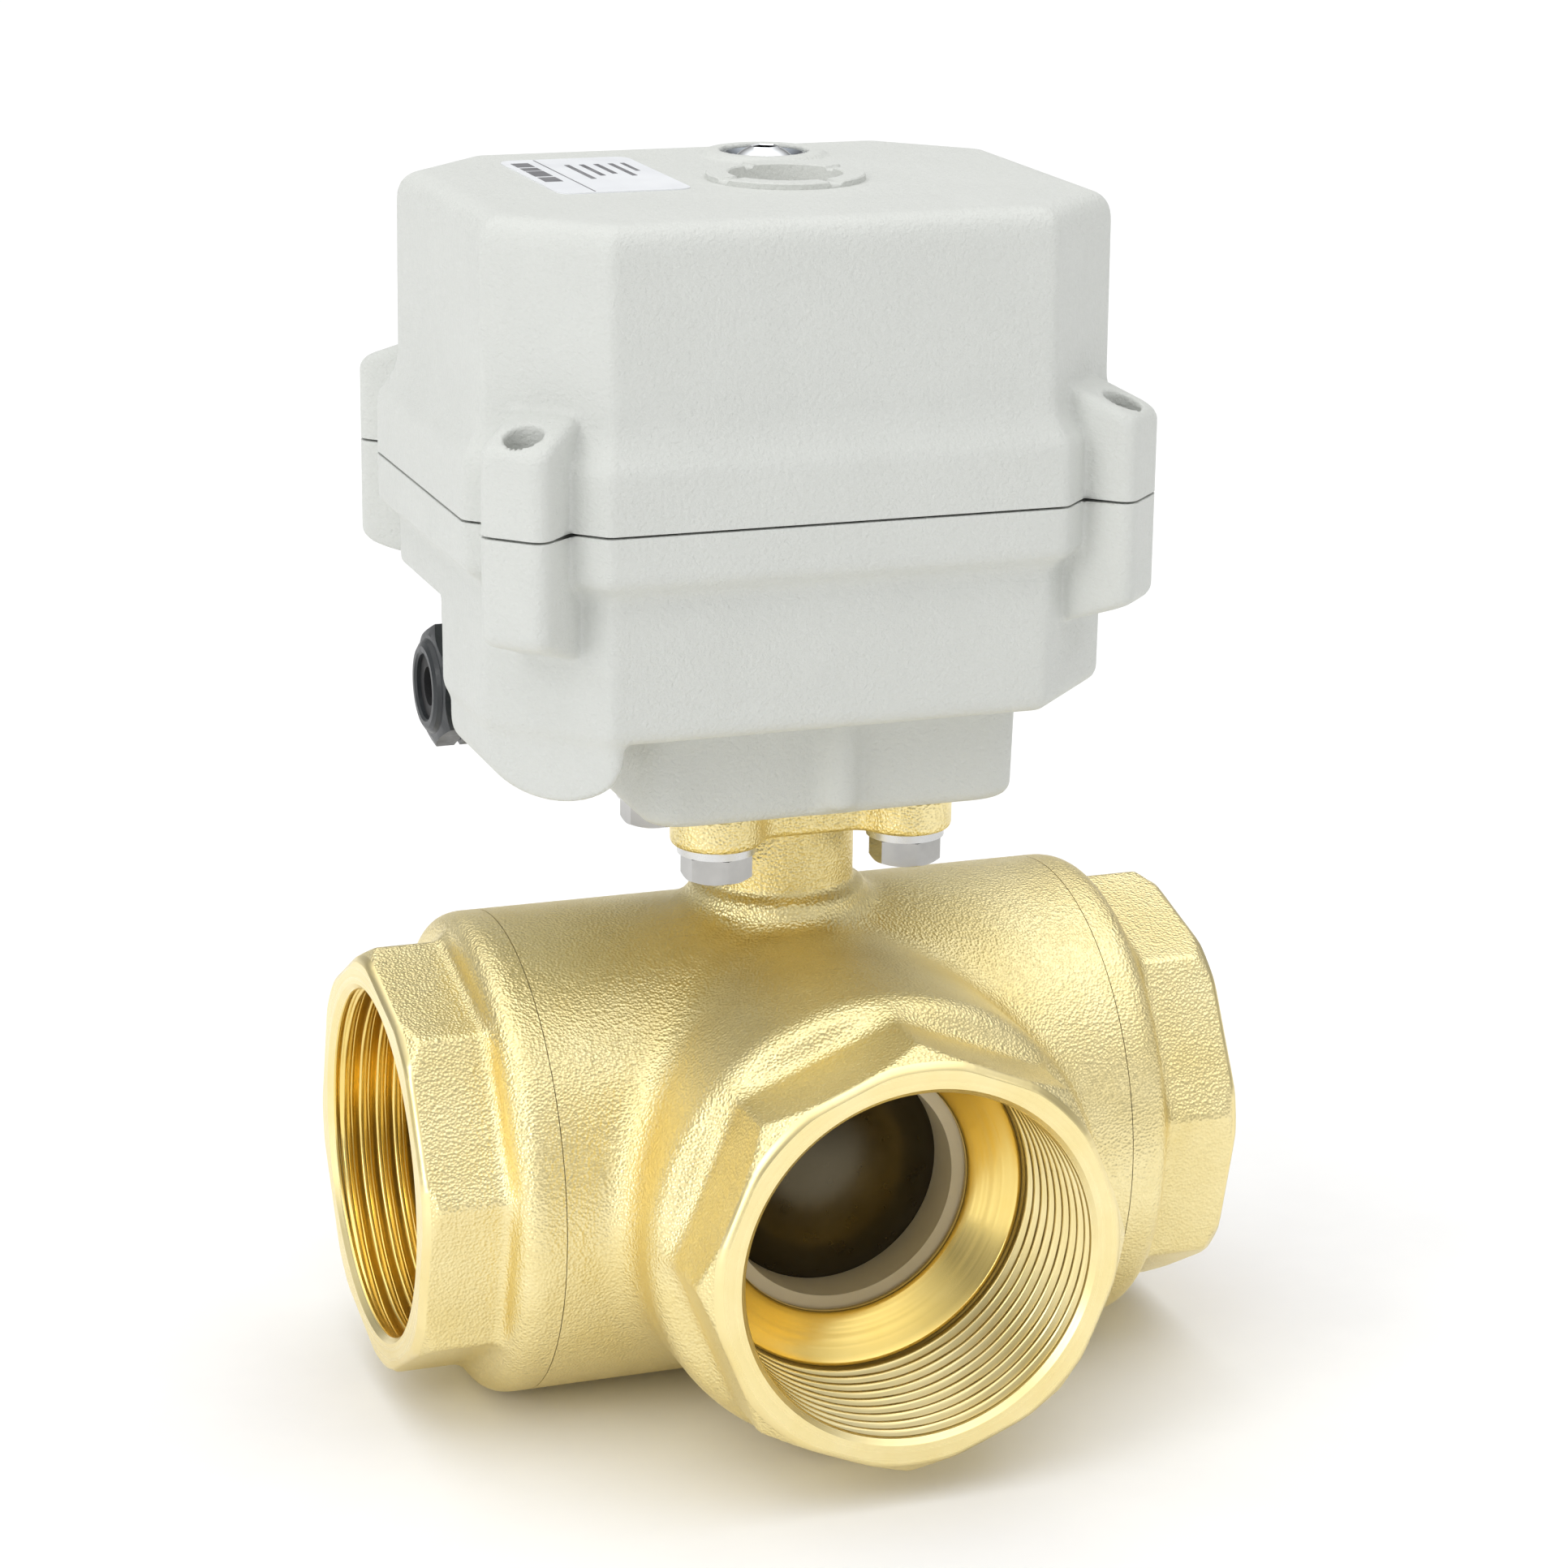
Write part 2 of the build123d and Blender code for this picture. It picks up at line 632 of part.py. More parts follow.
def cover_screws():
    screws = []
    for x, y in screw_points():
        screw = rod(SCREW_HEAD_R, SCREW_SEAT_Z, SCREW_SEAT_Z + SCREW_HEAD, x, y)
        key = hexagon(SCREW_KEY, SCREW_SEAT_Z + 1, SCREW_SEAT_Z + SCREW_HEAD + 1)
        screw -= Pos(x, y, 0) * key
        screw += rod(SCREW_R, SCREW_END_Z, SCREW_SEAT_Z, x, y)
        screws.append(screw)
    return Compound(children=screws)


# --- cable gland ---------------------------------------------------------------------------
def gland_part(shape):
    """Move a shape built along +Z to the gland axis, +Z turned to -X."""
    return Pos(0, GLAND_Y, GLAND_Z) * Rot(0, -90, 0) * shape


def gland_hexagon(x0, x1):
    return hexagon(GLAND_FLATS, -x0, -x1)


def gland_body():
    part = gland_hexagon(*GLAND_FLANGE_X)
    part += rod(GLAND_SHANK_R, -GLAND_SHANK_X, -GLAND_FLANGE_X[0])
    part -= rod(GLAND_BORE_R, 0, -HOUSE_X[0])
    return gland_part(part)


def gland_nut():
    part = gland_hexagon(*GLAND_NUT_X)
    crown = rod(across_corners_r(GLAND_FLATS), -GLAND_NUT_X[0], -GLAND_NUT_X[1])
    crown = chamfer(crown.edges().sort_by(Axis.Z)[-1], GLAND_CROWN)
    return gland_part((part & crown) - rod(SEAL_R, 0, -HOUSE_X[0]))


def gland_seal():
    return gland_part(tube(SEAL_R, SEAL_BORE_R, -GLAND_NUT_X[0], -SEAL_END_X))


# --- gears ---------------------------------------------------------------------------------
def involute_angle(radius, base_r):
    """Roll-off angle of the involute at a radius."""
    if radius <= base_r:
        return 0.0
    pressure = math.acos(base_r / radius)
    return math.tan(pressure) - pressure


def gear_outline(teeth, module, first_tooth):
    """Stub involute gear, 20 degree pressure angle, with a tooth centred at `first_tooth`."""
    pitch_r = teeth * module / 2
    base_r = pitch_r * math.cos(math.radians(GEAR_PRESSURE_ANGLE))
    tip_r = pitch_r + GEAR_ADDENDUM * module
    root_r = pitch_r - module
    width = (math.pi / 2 - GEAR_BACKLASH) * module
    half_tooth = width / 2 / pitch_r + involute_angle(pitch_r, base_r)
    radii = [root_r] if root_r < base_r else []
    start_r = max(base_r, root_r)
    for step in range(5):
        radii.append(start_r + (tip_r - start_r) * step / 4)
    flank = [(radius, half_tooth - involute_angle(radius, base_r)) for radius in radii]
    points = []
    for tooth in range(teeth):
        centre = math.radians(first_tooth) + 2 * math.pi * tooth / teeth
        for radius, angle in flank:
            points.append((radius * math.cos(centre - angle), radius * math.sin(centre - angle)))
        for radius, angle in reversed(flank):
            points.append((radius * math.cos(centre + angle), radius * math.sin(centre + angle)))
    return make_face(Polyline(*points, close=True))


def mesh_angle(teeth_a, tooth_a, direction, teeth_b):
    """First-tooth angle of gear B that meshes with gear A, B lying at `direction` from A."""
    part = teeth_a * (tooth_a - direction) / 360
    return direction + 180 + 360 / teeth_b * (0.5 - part)


def polar(centre, distance, angle):
    return (
        centre[0] + distance * math.cos(math.radians(angle)),
        centre[1] + distance * math.sin(math.radians(angle)),
    )


def drive_distance():
    return DRIVE_MODULE * (DRIVE_TEETH + DRIVE_PINION_TEETH) / 2


def idler_axis():
    return polar((0, 0), drive_distance(), IDLER_ANGLE)


def override_axis():
    return polar((0, 0), drive_distance(), OVERRIDE_ANGLE)


def motor_axis():
    distance = FINE_MODULE * (FINE_TEETH + FINE_PINION_TEETH) / 2
    return polar(idler_axis(), distance, MOTOR_ANGLE)


def output_gear():
    wheel = prism(gear_outline(DRIVE_TEETH, DRIVE_MODULE, 0), *DRIVE_Z)
    lightening = rod(GEAR_HOLE_R, DRIVE_Z[0] - 1, DRIVE_Z[1] + 1, GEAR_HOLE_AT)
    for turn in range(GEAR_HOLES):
        wheel -= Rot(0, 0, 360 / GEAR_HOLES * turn) * lightening
    return wheel - rod(SHAFT_R, DRIVE_Z[0] - 1, DRIVE_Z[1] + 1)


def idler_gear():
    x, y = idler_axis()
    pinion_tooth = mesh_angle(DRIVE_TEETH, 0, IDLER_ANGLE, DRIVE_PINION_TEETH)
    gear = prism(gear_outline(FINE_TEETH, FINE_MODULE, 0), *IDLER_WHEEL_Z)
    gear += prism(gear_outline(DRIVE_PINION_TEETH, DRIVE_MODULE, pinion_tooth), *IDLER_PINION_Z)
    gear += rod(IDLER_HUB_R, LOWER_PLATE_Z[1] + IDLER_PLAY, IDLER_WHEEL_Z[0])
    gear -= rod(IDLER_PIN_R + RUNNING, 0, TOP_Z)
    return Pos(x, y, 0) * gear


def motor_pinion():
    x, y = motor_axis()
    tooth = mesh_angle(FINE_TEETH, 0, MOTOR_ANGLE, FINE_PINION_TEETH)
    pinion = prism(gear_outline(FINE_PINION_TEETH, FINE_MODULE, tooth), *MOTOR_PINION_Z)
    pinion += rod(MOTOR_SHAFT_R, *MOTOR_SHAFT_Z)
    return Pos(x, y, 0) * pinion


def override_pinion():
    x, y = override_axis()
    tooth = mesh_angle(DRIVE_TEETH, 0, OVERRIDE_ANGLE, DRIVE_PINION_TEETH)
    profile = gear_outline(DRIVE_PINION_TEETH, DRIVE_MODULE, tooth)
    pinion = prism(profile, DRIVE_Z[0] - PINION_OVERHANG, DRIVE_Z[1] + PINION_OVERHANG)
    return Pos(x, y, 0) * (pinion - rod(OVERRIDE_R, 0, TOP_Z))


def override_shaft():
    """Hand-drive shaft with a domed head and a hexagon key socket."""
    x, y = override_axis()
    shaft = rod(OVERRIDE_R, OVERRIDE_Z[0], OVERRIDE_Z[1])
    shaft += rod(OVERRIDE_HEAD_R, OVERRIDE_Z[1], OVERRIDE_Z[2])
    sphere_r = (OVERRIDE_HEAD_R**2 + OVERRIDE_DOME**2) / 2 / OVERRIDE_DOME
    dome = Pos(0, 0, OVERRIDE_Z[2] + OVERRIDE_DOME - sphere_r) * Sphere(sphere_r)
    shaft += dome & rod(OVERRIDE_HEAD_R, OVERRIDE_Z[2], TOP_Z + 5)
    shaft -= hexagon(OVERRIDE_KEY, OVERRIDE_Z[2] - OVERRIDE_KEY_DEPTH, TOP_Z + 5)
    groove = (OVERRIDE_RING_Z - 0.5, OVERRIDE_RING_Z + 0.5)
    shaft -= tube(OVERRIDE_HEAD_R + 1, OVERRIDE_HEAD_R - 2 * OVERRIDE_RING_SECTION, *groove)
    return Pos(x, y, 0) * shaft


def override_ring():
    x, y = override_axis()
    middle = OVERRIDE_HEAD_R - OVERRIDE_RING_SECTION
    return Pos(x, y, OVERRIDE_RING_Z) * Torus(middle, OVERRIDE_RING_SECTION - RING_SLACK)


def override_bezel():
    x, y = override_axis()
    ring = tube(BEZEL_R, BEZEL_BORE_R, *BEZEL_Z)
    ring = chamfer(ring.edges().group_by(Axis.Z)[-1].sort_by(SortBy.LENGTH)[0], BEZEL_CHAMFER)
    return Pos(x, y, 0) * ring


# --- frame of the gear train ---------------------------------------------------------------
def plate(heights):
    """Gear-train plate following the housing plan."""
    sheet = prism(outline(-PLATE_INSET), *heights)
    for x, y in PILLARS:
        sheet -= rod(PLATE_SCREW_R, heights[0] - 1, heights[1] + 1, x, y)
    x, y = idler_axis()
    sheet -= rod(IDLER_PIN_R, heights[0] - 1, heights[1] + 1, x, y)
    x, y = override_axis()
    return sheet - rod(OVERRIDE_R + RUNNING, heights[0] - 1, heights[1] + 1, x, y)


def lower_plate():
    sheet = plate(LOWER_PLATE_Z) - rod(SHAFT_R + 1, 0, TOP_Z)
    x, y = motor_axis()
    sheet -= rod(MOTOR_SHAFT_R + 1.5, 0, TOP_Z, x, y)
    for px, py in motor_screw_points():
        sheet -= rod(MOTOR_SCREW_R, 0, TOP_Z, px, py)
    return sheet


def upper_plate():
    sheet = plate(UPPER_PLATE_Z) - rod(UPPER_BUSH_R, 0, TOP_Z)
    for side in (-1, 1):
        sheet -= rod(SWITCH_SCREW_R, 0, TOP_Z, SWITCH_HOLE_X, side * SWITCH_HOLE_Y)
    return sheet


def pillars(z0, z1):
    return Compound(children=[tube(PILLAR_R, PLATE_SCREW_R, z0, z1, x, y) for x, y in PILLARS])


def plate_screws():
    screws = []
    for x, y in PILLARS:
        screw = rod(PLATE_SCREW_HEAD_R, UPPER_PLATE_Z[1], UPPER_PLATE_Z[1] + PLATE_SCREW_HEAD, x, y)
        screw -= block(SCREW_SLOT, UPPER_PLATE_Z[1] + 1, x, y)
        screw += rod(PLATE_SCREW_R, LOWER_PLATE_Z[0] - PLATE_SCREW_REACH, UPPER_PLATE_Z[1], x, y)
        screws.append(screw)
    return Compound(children=screws)


def motor_screw_points():
    return [polar(motor_axis(), MOTOR_SCREW_OFFSET, angle) for angle in (30, 150, 270)]


def motor_can():
    x, y = motor_axis()
    can = rod(MOTOR_CAN_R, MOTOR_Z[0], MOTOR_Z[1])
    can = fillet(can.edges().sort_by(Axis.Z)[0], MOTOR_EDGE_R)
    return Pos(x, y, 0) * can


def gearhead():
    x, y = motor_axis()
    case = rod(MOTOR_R, MOTOR_Z[1], MOTOR_Z[2])
    case -= rod(MOTOR_SHAFT_R + RUNNING, MOTOR_SHAFT_Z[0] - 1, TOP_Z)
    case = Pos(x, y, 0) * case
    for px, py in motor_screw_points():
        case -= rod(MOTOR_SCREW_R, MOTOR_Z[2] - 5, TOP_Z, px, py)
    return case


def motor_screws():
    screws = []
    for x, y in motor_screw_points():
        screw = rod(SMALL_HEAD_R, LOWER_PLATE_Z[1], LOWER_PLATE_Z[1] + SMALL_HEAD, x, y)
        screw += rod(MOTOR_SCREW_R, LOWER_PLATE_Z[1] - 6, LOWER_PLATE_Z[1], x, y)
        screws.append(screw)
    return Compound(children=screws)


def output_shaft():
    shaft = rod(SHAFT_LOW_R, *SHAFT_LOW_Z)
    shaft += rod(SHAFT_R, SHAFT_LOW_Z[1], SHAFT_Z)
    shaft += rod(SHAFT_TIP_R, SHAFT_Z, SHAFT_TIP_Z)
    socket = (SOCKET_SQUARE, SOCKET_SQUARE, SOCKET_TOP_Z - SHAFT_LOW_Z[0] + 1)
    return shaft - block(socket, SHAFT_LOW_Z[0] - 1)


# --- limit switches ------------------------------------------------------------------------
def smooth(value):
    return value * value * (3 - 2 * value)


def cam_radius(angle, low, high):
    """Cam radius at an angle: a steady slope over the working quarter turn, then a blend."""
    slope = (high - low) / 90
    start, end = CAM_SLOPE_ANGLES
    if angle > 180:
        angle -= 360
    if start <= angle <= end:
        return low + slope * (angle + 90)
    first = low + slope * (start + 90)
    last = low + slope * (end + 90)
    travel = (angle - end) % 360
    return last + (first - last) * smooth(travel / (360 - end + start))


def cam(heights, low, high):
    points = []
    for step in range(CAM_STEPS):
        angle = 360 / CAM_STEPS * step
        radius = cam_radius(angle, low, high) - FOLLOWER_TIP_R - FOLLOWER_GAP
        points.append(polar((0, 0), radius, angle))
    disc = prism(make_face(Polyline(*points, close=True)), *heights)
    disc += rod(CAM_HUB_R, heights[0] - CAM_HUB_STEP, heights[1] + CAM_HUB_STEP)
    return disc - rod(SHAFT_R, 0, TOP_Z)


def lever_pivot():
    return (FOLLOWER_LOW_R + FOLLOWER_HIGH_R) / 2, -LEVER_LENGTH


def lever_swing():
    """Angle the lever swings either side of its middle position."""
    return math.degrees(math.asin((FOLLOWER_HIGH_R - FOLLOWER_LOW_R) / 2 / LEVER_LENGTH))


def lever(heights, swing):
    middle = (heights[0] + heights[1]) / 2
    arm = block((LEVER_T, LEVER_LENGTH, LEVER_WIDTH), middle - LEVER_WIDTH / 2, 0, LEVER_LENGTH / 2)
    arm += rod(LEVER_EYE_R, middle - LEVER_EYE_HALF, middle + LEVER_EYE_HALF)
    arm += rod(FOLLOWER_TIP_R, middle - FOLLOWER_HALF, middle + FOLLOWER_HALF, 0, LEVER_LENGTH)
    arm -= rod(LEVER_PIN_R + RUNNING, 0, TOP_Z)
    x, y = lever_pivot()
    return Pos(x, y, 0) * Rot(0, 0, swing) * arm


def switch_body(heights, cam_heights):
    """Snap-action switch with two lugs and a pin that carry its lever."""
    width = SWITCH_X[1] - SWITCH_X[0]
    size = (width, 2 * SWITCH_HALF_Y, heights[1] - heights[0])
    body = block(size, heights[0], sum(SWITCH_X) / 2)
    x, y = lever_pivot()
    middle = sum(cam_heights) / 2
    lug_x0 = x - LEVER_EYE_R
    lug_x1 = SWITCH_X[0] + 0.2
    lug = (lug_x1 - lug_x0, 2 * LEVER_EYE_R, LUG_T)
    for z in (middle - LUG_INNER - LUG_T, middle + LUG_INNER):
        body += block(lug, z, (lug_x0 + lug_x1) / 2, y)
    body += rod(LEVER_PIN_R, middle - LUG_INNER - LUG_T, middle + LUG_INNER + LUG_T, x, y)
    for side in (-1, 1):
        body -= rod(SWITCH_SCREW_R + 0.1, 0, TOP_Z, SWITCH_HOLE_X, side * SWITCH_HOLE_Y)
    for tab_y in SWITCH_TAB_Y:
        body += block(SWITCH_TAB, middle, SWITCH_X[1] + SWITCH_TAB[0] / 2 - 0.1, tab_y)
    return body


def switch_screws():
    screws = []
    for side in (-1, 1):
        y = side * SWITCH_HOLE_Y
        top = SWITCH_Z[1][1]
        screw = rod(SMALL_HEAD_R, top, top + SWITCH_HEAD, SWITCH_HOLE_X, y)
        screws.append(screw + rod(SWITCH_SCREW_R, UPPER_PLATE_Z[0], top, SWITCH_HOLE_X, y))
    return Compound(children=screws)


# --- electronics, indicator and label ------------------------------------------------------
def circuit_board():
    width = BOARD_X[1] - BOARD_X[0]
    outline_2d = Pos(sum(BOARD_X) / 2, 0) * Rectangle(width, 2 * BOARD_HALF_Y)
    outline_2d = chamfer(outline_2d.vertices(), BOARD_CORNER)
    board = prism(outline_2d, *BOARD_Z)
    for x, y in STANDOFFS:
        board -= rod(BOARD_SCREW_R, 0, TOP_Z, x, y)
    return board


def board_standoffs():
    posts = []
    for x, y in STANDOFFS:
        post = rod(STANDOFF_R, UPPER_PLATE_Z[1], BOARD_Z[0], x, y)
        post += rod(BOARD_SCREW_R, *BOARD_Z, x, y)
        posts.append(post + rod(SMALL_HEAD_R, BOARD_Z[1], BOARD_Z[1] + BOARD_SCREW_HEAD, x, y))
    return Compound(children=posts)


def terminal_block():
    housing = block(TERMINAL, BOARD_Z[1], TERMINAL_X)
    pitch = TERMINAL[1] / TERMINAL_WAYS
    for way in range(TERMINAL_WAYS):
        y = (way - (TERMINAL_WAYS - 1) / 2) * pitch
        housing -= block(TERMINAL_MOUTH, BOARD_Z[1] + TERMINAL_SILL, TERMINAL_X - TERMINAL[0] / 2, y)
        top = BOARD_Z[1] + TERMINAL[2]
        housing -= rod(TERMINAL_HOLE_R, top - TERMINAL_HOLE_R, TOP_Z, TERMINAL_X + TERMINAL_HOLE_SHIFT, y)
    return housing


def relay():
    can = block(RELAY, BOARD_Z[1], *RELAY_AT)
    return fillet(can.edges().filter_by(Axis.Z), RELAY_EDGE_R)


def capacitor():
    can = rod(CAPACITOR_R, BOARD_Z[1], BOARD_Z[1] + CAPACITOR_H, *CAPACITOR_AT)
    return fillet(can.edges().sort_by(Axis.Z)[-1], CAPACITOR_EDGE_R)


def indicator():
    disc = rod(INDICATOR_R, INDICATOR_Z[1], INDICATOR_Z[2])
    disc += rod(INDICATOR_HUB_R, INDICATOR_Z[0], INDICATOR_Z[1])
    disc -= rod(SHAFT_TIP_R, 0, SHAFT_TIP_Z)
    return disc - block(INDICATOR_SLOT, INDICATOR_Z[2] - INDICATOR_SLOT_DEPTH)


def label():
    sheet = RectangleRounded(*LABEL, LABEL_CORNER_R)
    return Pos(*LABEL_AT, 0) * prism(sheet, TOP_Z, TOP_Z + LABEL_T)


def main():
    os.makedirs("parts", exist_ok=True)
    save("valve_body", valve_body())
    save("end_cap_left", end_cap(-1))
    save("end_cap_right", end_cap(1))
    save("ball", ball())
    save("seat_branch", to_front(seat(SEAT_R, SEAT_BACK)))
    save("seat_back", Rot(-90, 0, 0) * seat(PAD_SEAT_R, PAD_SEAT_BACK))
    save("seat_left", Rot(0, -90, 0) * seat(SEAT_R, SEAT_BACK))
    save("seat_right", to_x(seat(SEAT_R, SEAT_BACK)))
    save("body_ring_left", body_ring(-1))
    save("body_ring_right", body_ring(1))
    save("stem", stem())
    save("thrust_washer", tube(THRUST_WASHER_R, THRUST_BORE_R, *THRUST_Z))
    save("stem_ring_lower", stem_ring(STEM_RING_Z[0]))
    save("stem_ring_upper", stem_ring(STEM_RING_Z[1]))
    save("mounting_bolts", at_bolts(mounting_bolt()))
    washer = tube(WASHER_R, WASHER_BORE_R, PAD_Z[0] - WASHER_T, PAD_Z[0])
    save("mounting_washers", at_bolts(washer))

    save("base", base())
    save("cover", cover())
    save("cover_gasket", cover_gasket())
    save("cover_screws", cover_screws())
    save("gland_body", gland_body())
    save("gland_nut", gland_nut())
    save("gland_seal", gland_seal())

    save("output_shaft", output_shaft())
    save("shaft_bush_lower", tube(BUSH_R, SHAFT_LOW_R + RUNNING, *BUSH_Z))
    save("shaft_bush_upper", tube(UPPER_BUSH_R, SHAFT_R + RUNNING, *UPPER_BUSH_Z))
    save("output_gear", output_gear())
    save("idler_gear", idler_gear())
    save("idler_pin", rod(IDLER_PIN_R, LOWER_PLATE_Z[0], UPPER_PLATE_Z[1], *idler_axis()))
    save("motor_pinion", motor_pinion())
    save("motor_can", motor_can())
    save("gearhead", gearhead())
    save("motor_screws", motor_screws())
    save("override_shaft", override_shaft())
    save("override_pinion", override_pinion())
    save("override_ring", override_ring())
    save("override_bezel", override_bezel())
    save("lower_plate", lower_plate())
    save("upper_plate", upper_plate())
    save("pillars_lower", pillars(BASE_Z + WALL, LOWER_PLATE_Z[0]))
    save("pillars_upper", pillars(LOWER_PLATE_Z[1], UPPER_PLATE_Z[0]))
    save("plate_screws", plate_screws())

    save("cam_closed", cam(CAM_Z[0], FOLLOWER_LOW_R, FOLLOWER_HIGH_R))
    save("cam_open", cam(CAM_Z[1], FOLLOWER_HIGH_R, FOLLOWER_LOW_R))
    save("lever_closed", lever(CAM_Z[0], -lever_swing()))
    save("lever_open", lever(CAM_Z[1], lever_swing()))
    save("switch_closed", switch_body(SWITCH_Z[0], CAM_Z[0]))
    save("switch_open", switch_body(SWITCH_Z[1], CAM_Z[1]))
    save("switch_screws", switch_screws())

    save("circuit_board", circuit_board())
    save("board_standoffs", board_standoffs())
    save("terminal_block", terminal_block())
    save("relay", relay())
    save("capacitor", capacitor())
    save("indicator", indicator())
    save("label", label())


main()
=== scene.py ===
import json
import math

import bmesh
import bpy
import numpy as np
from mathutils import Matrix, Vector


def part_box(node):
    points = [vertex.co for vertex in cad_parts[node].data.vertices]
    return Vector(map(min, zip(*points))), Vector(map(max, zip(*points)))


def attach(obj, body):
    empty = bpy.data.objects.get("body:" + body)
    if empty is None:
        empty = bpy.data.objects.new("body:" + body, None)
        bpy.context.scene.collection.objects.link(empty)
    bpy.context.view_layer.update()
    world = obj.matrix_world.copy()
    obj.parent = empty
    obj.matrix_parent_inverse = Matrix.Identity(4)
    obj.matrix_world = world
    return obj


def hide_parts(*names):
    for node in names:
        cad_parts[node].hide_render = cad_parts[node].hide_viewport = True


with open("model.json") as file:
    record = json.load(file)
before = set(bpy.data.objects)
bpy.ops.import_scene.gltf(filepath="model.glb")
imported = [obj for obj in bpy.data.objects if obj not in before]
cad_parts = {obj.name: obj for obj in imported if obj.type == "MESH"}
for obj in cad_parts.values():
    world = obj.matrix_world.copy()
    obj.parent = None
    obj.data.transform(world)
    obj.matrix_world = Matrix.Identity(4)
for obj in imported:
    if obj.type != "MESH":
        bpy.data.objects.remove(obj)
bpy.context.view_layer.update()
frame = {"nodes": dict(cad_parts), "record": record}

MM = 0.001


# --- dimensions read from the CAD frame, in millimetres about the ball centre ---------------
def cad_box(node):
    lo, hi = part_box(node)
    return np.array(lo) / MM, np.array(hi) / MM


CAP_LO, CAP_HI = cad_box("end_cap_right")
ORIGIN = np.array([0.0, (CAP_LO[1] + CAP_HI[1]) / 2, (CAP_LO[2] + CAP_HI[2]) / 2])


def local_box(node):
    lo, hi = cad_box(node)
    return lo - ORIGIN, hi - ORIGIN


BODY_LO, BODY_HI = local_box("valve_body")
BASE_LO, BASE_HI = local_box("base")
COVER_LO, COVER_HI = local_box("cover")
BEZEL_LO, BEZEL_HI = local_box("override_bezel")
OVERRIDE_LO, OVERRIDE_HI = local_box("override_shaft")
LABEL_LO, LABEL_HI = local_box("label")
NUT_LO, NUT_HI = local_box("gland_nut")
GLAND_LO = local_box("gland_body")[0]
BOLTS_HI = local_box("mounting_bolts")[1]

BARREL_R = (CAP_HI[2] - CAP_LO[2]) / 2
SEAM = BODY_HI[0]
END_FACE = CAP_HI[0]
BRANCH_FACE = -BODY_LO[1]
PAD_TOP = BODY_HI[2]
THREAD_R = frame["record"]["mounts"][0]["dims"]["r_mm"]
THREAD_PITCH = 25.4 / 11
OVERRIDE_X = (BEZEL_LO[0] + BEZEL_HI[0]) / 2
OVERRIDE_Y = (BEZEL_LO[1] + BEZEL_HI[1]) / 2
BEZEL_R = (BEZEL_HI[0] - BEZEL_LO[0]) / 2
GLAND_Y = (NUT_LO[1] + NUT_HI[1]) / 2
GLAND_Z = (NUT_LO[2] + NUT_HI[2]) / 2

FLANGE = 2.5
WALL = 3.0
HOUSE_X = (BASE_LO[0] + FLANGE, BASE_HI[0] - FLANGE)
HOUSE_MID = sum(HOUSE_X) / 2
HOUSE_HX = (HOUSE_X[1] - HOUSE_X[0]) / 2
HOUSE_HY = 32.0
HOUSE_CUT = 12.5
BASE_TOP = BASE_HI[2]
BASE_FLOOR = 62.0
BOX_BOTTOM = BASE_LO[2]
COVER_BOTTOM = COVER_LO[2]
COVER_TOP = LABEL_LO[2]

VOXEL = 0.45
THREAD_STEP = 0.165


# --- mesh helpers ----------------------------------------------------------------------------
def to_world(points):
    return (np.asarray(points, float) + ORIGIN) * MM


def new_object(name, points, faces, smooth=True):
    mesh = bpy.data.meshes.new(name)
    mesh.from_pydata(to_world(points).tolist(), [], [list(map(int, f)) for f in faces])
    mesh.validate()
    mesh.update()
    if smooth:
        mesh.shade_smooth()
    obj = bpy.data.objects.new(name, mesh)
    bpy.context.scene.collection.objects.link(obj)
    return obj


def finish_piece(obj, body, slot, *nodes):
    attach(obj, body)
    if nodes:
        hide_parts(*nodes)
    return obj


def sharpen(obj, degrees):
    """Smooth shading with crisp edges above an angle."""
    bm = bmesh.new()
    bm.from_mesh(obj.data)
    limit = math.radians(degrees)
    for edge in bm.edges:
        edge.smooth = not (len(edge.link_faces) == 2 and edge.calc_face_angle() > limit)
    for face in bm.faces:
        face.smooth = True
    bm.to_mesh(obj.data)
    bm.free()
    return obj


# --- signed-distance surfaces ----------------------------------------------------------------
def smax(a, b, k):
    """Maximum of two distances, rounded over about k."""
    h = np.maximum(k - np.abs(a - b), 0) / k
    return np.maximum(a, b) + h * h * k / 4


def smin(a, b, k):
    return -smax(-a, -b, k)


def length(a, b):
    """Distance from the axis that a and b are measured across."""
    return np.sqrt(a * a + b * b)


def octagon(u, v, flats, twist, k):
    """Eight-sided bar, with a flat facing each multiple of 45 degrees from the twist."""
    d = None
    for step in range(4):
        a = math.radians(twist + 45 * step)
        side = np.abs(u * math.cos(a) + v * math.sin(a)) - flats / 2
        d = side if d is None else smax(d, side, k)
    return d


CORNERS = [(i & 1, i >> 1 & 1, i >> 2 & 1) for i in range(8)]
CELL_EDGES = [(a, b) for a in range(8) for b in range(a + 1, 8) if bin(a ^ b).count("1") == 1]


SLAB = 24
PULLS = 3
PROBE = 0.15


def sample(sdf, axes):
    """The field's values on the grid, worked out a slab of layers at a time."""
    values = np.empty([len(a) for a in axes], np.float32)
    for start in range(0, len(axes[2]), SLAB):
        layers = slice(start, start + SLAB)
        grid = np.meshgrid(axes[0], axes[1], axes[2][layers], indexing="ij")
        values[:, :, layers] = sdf(*grid)
    return values


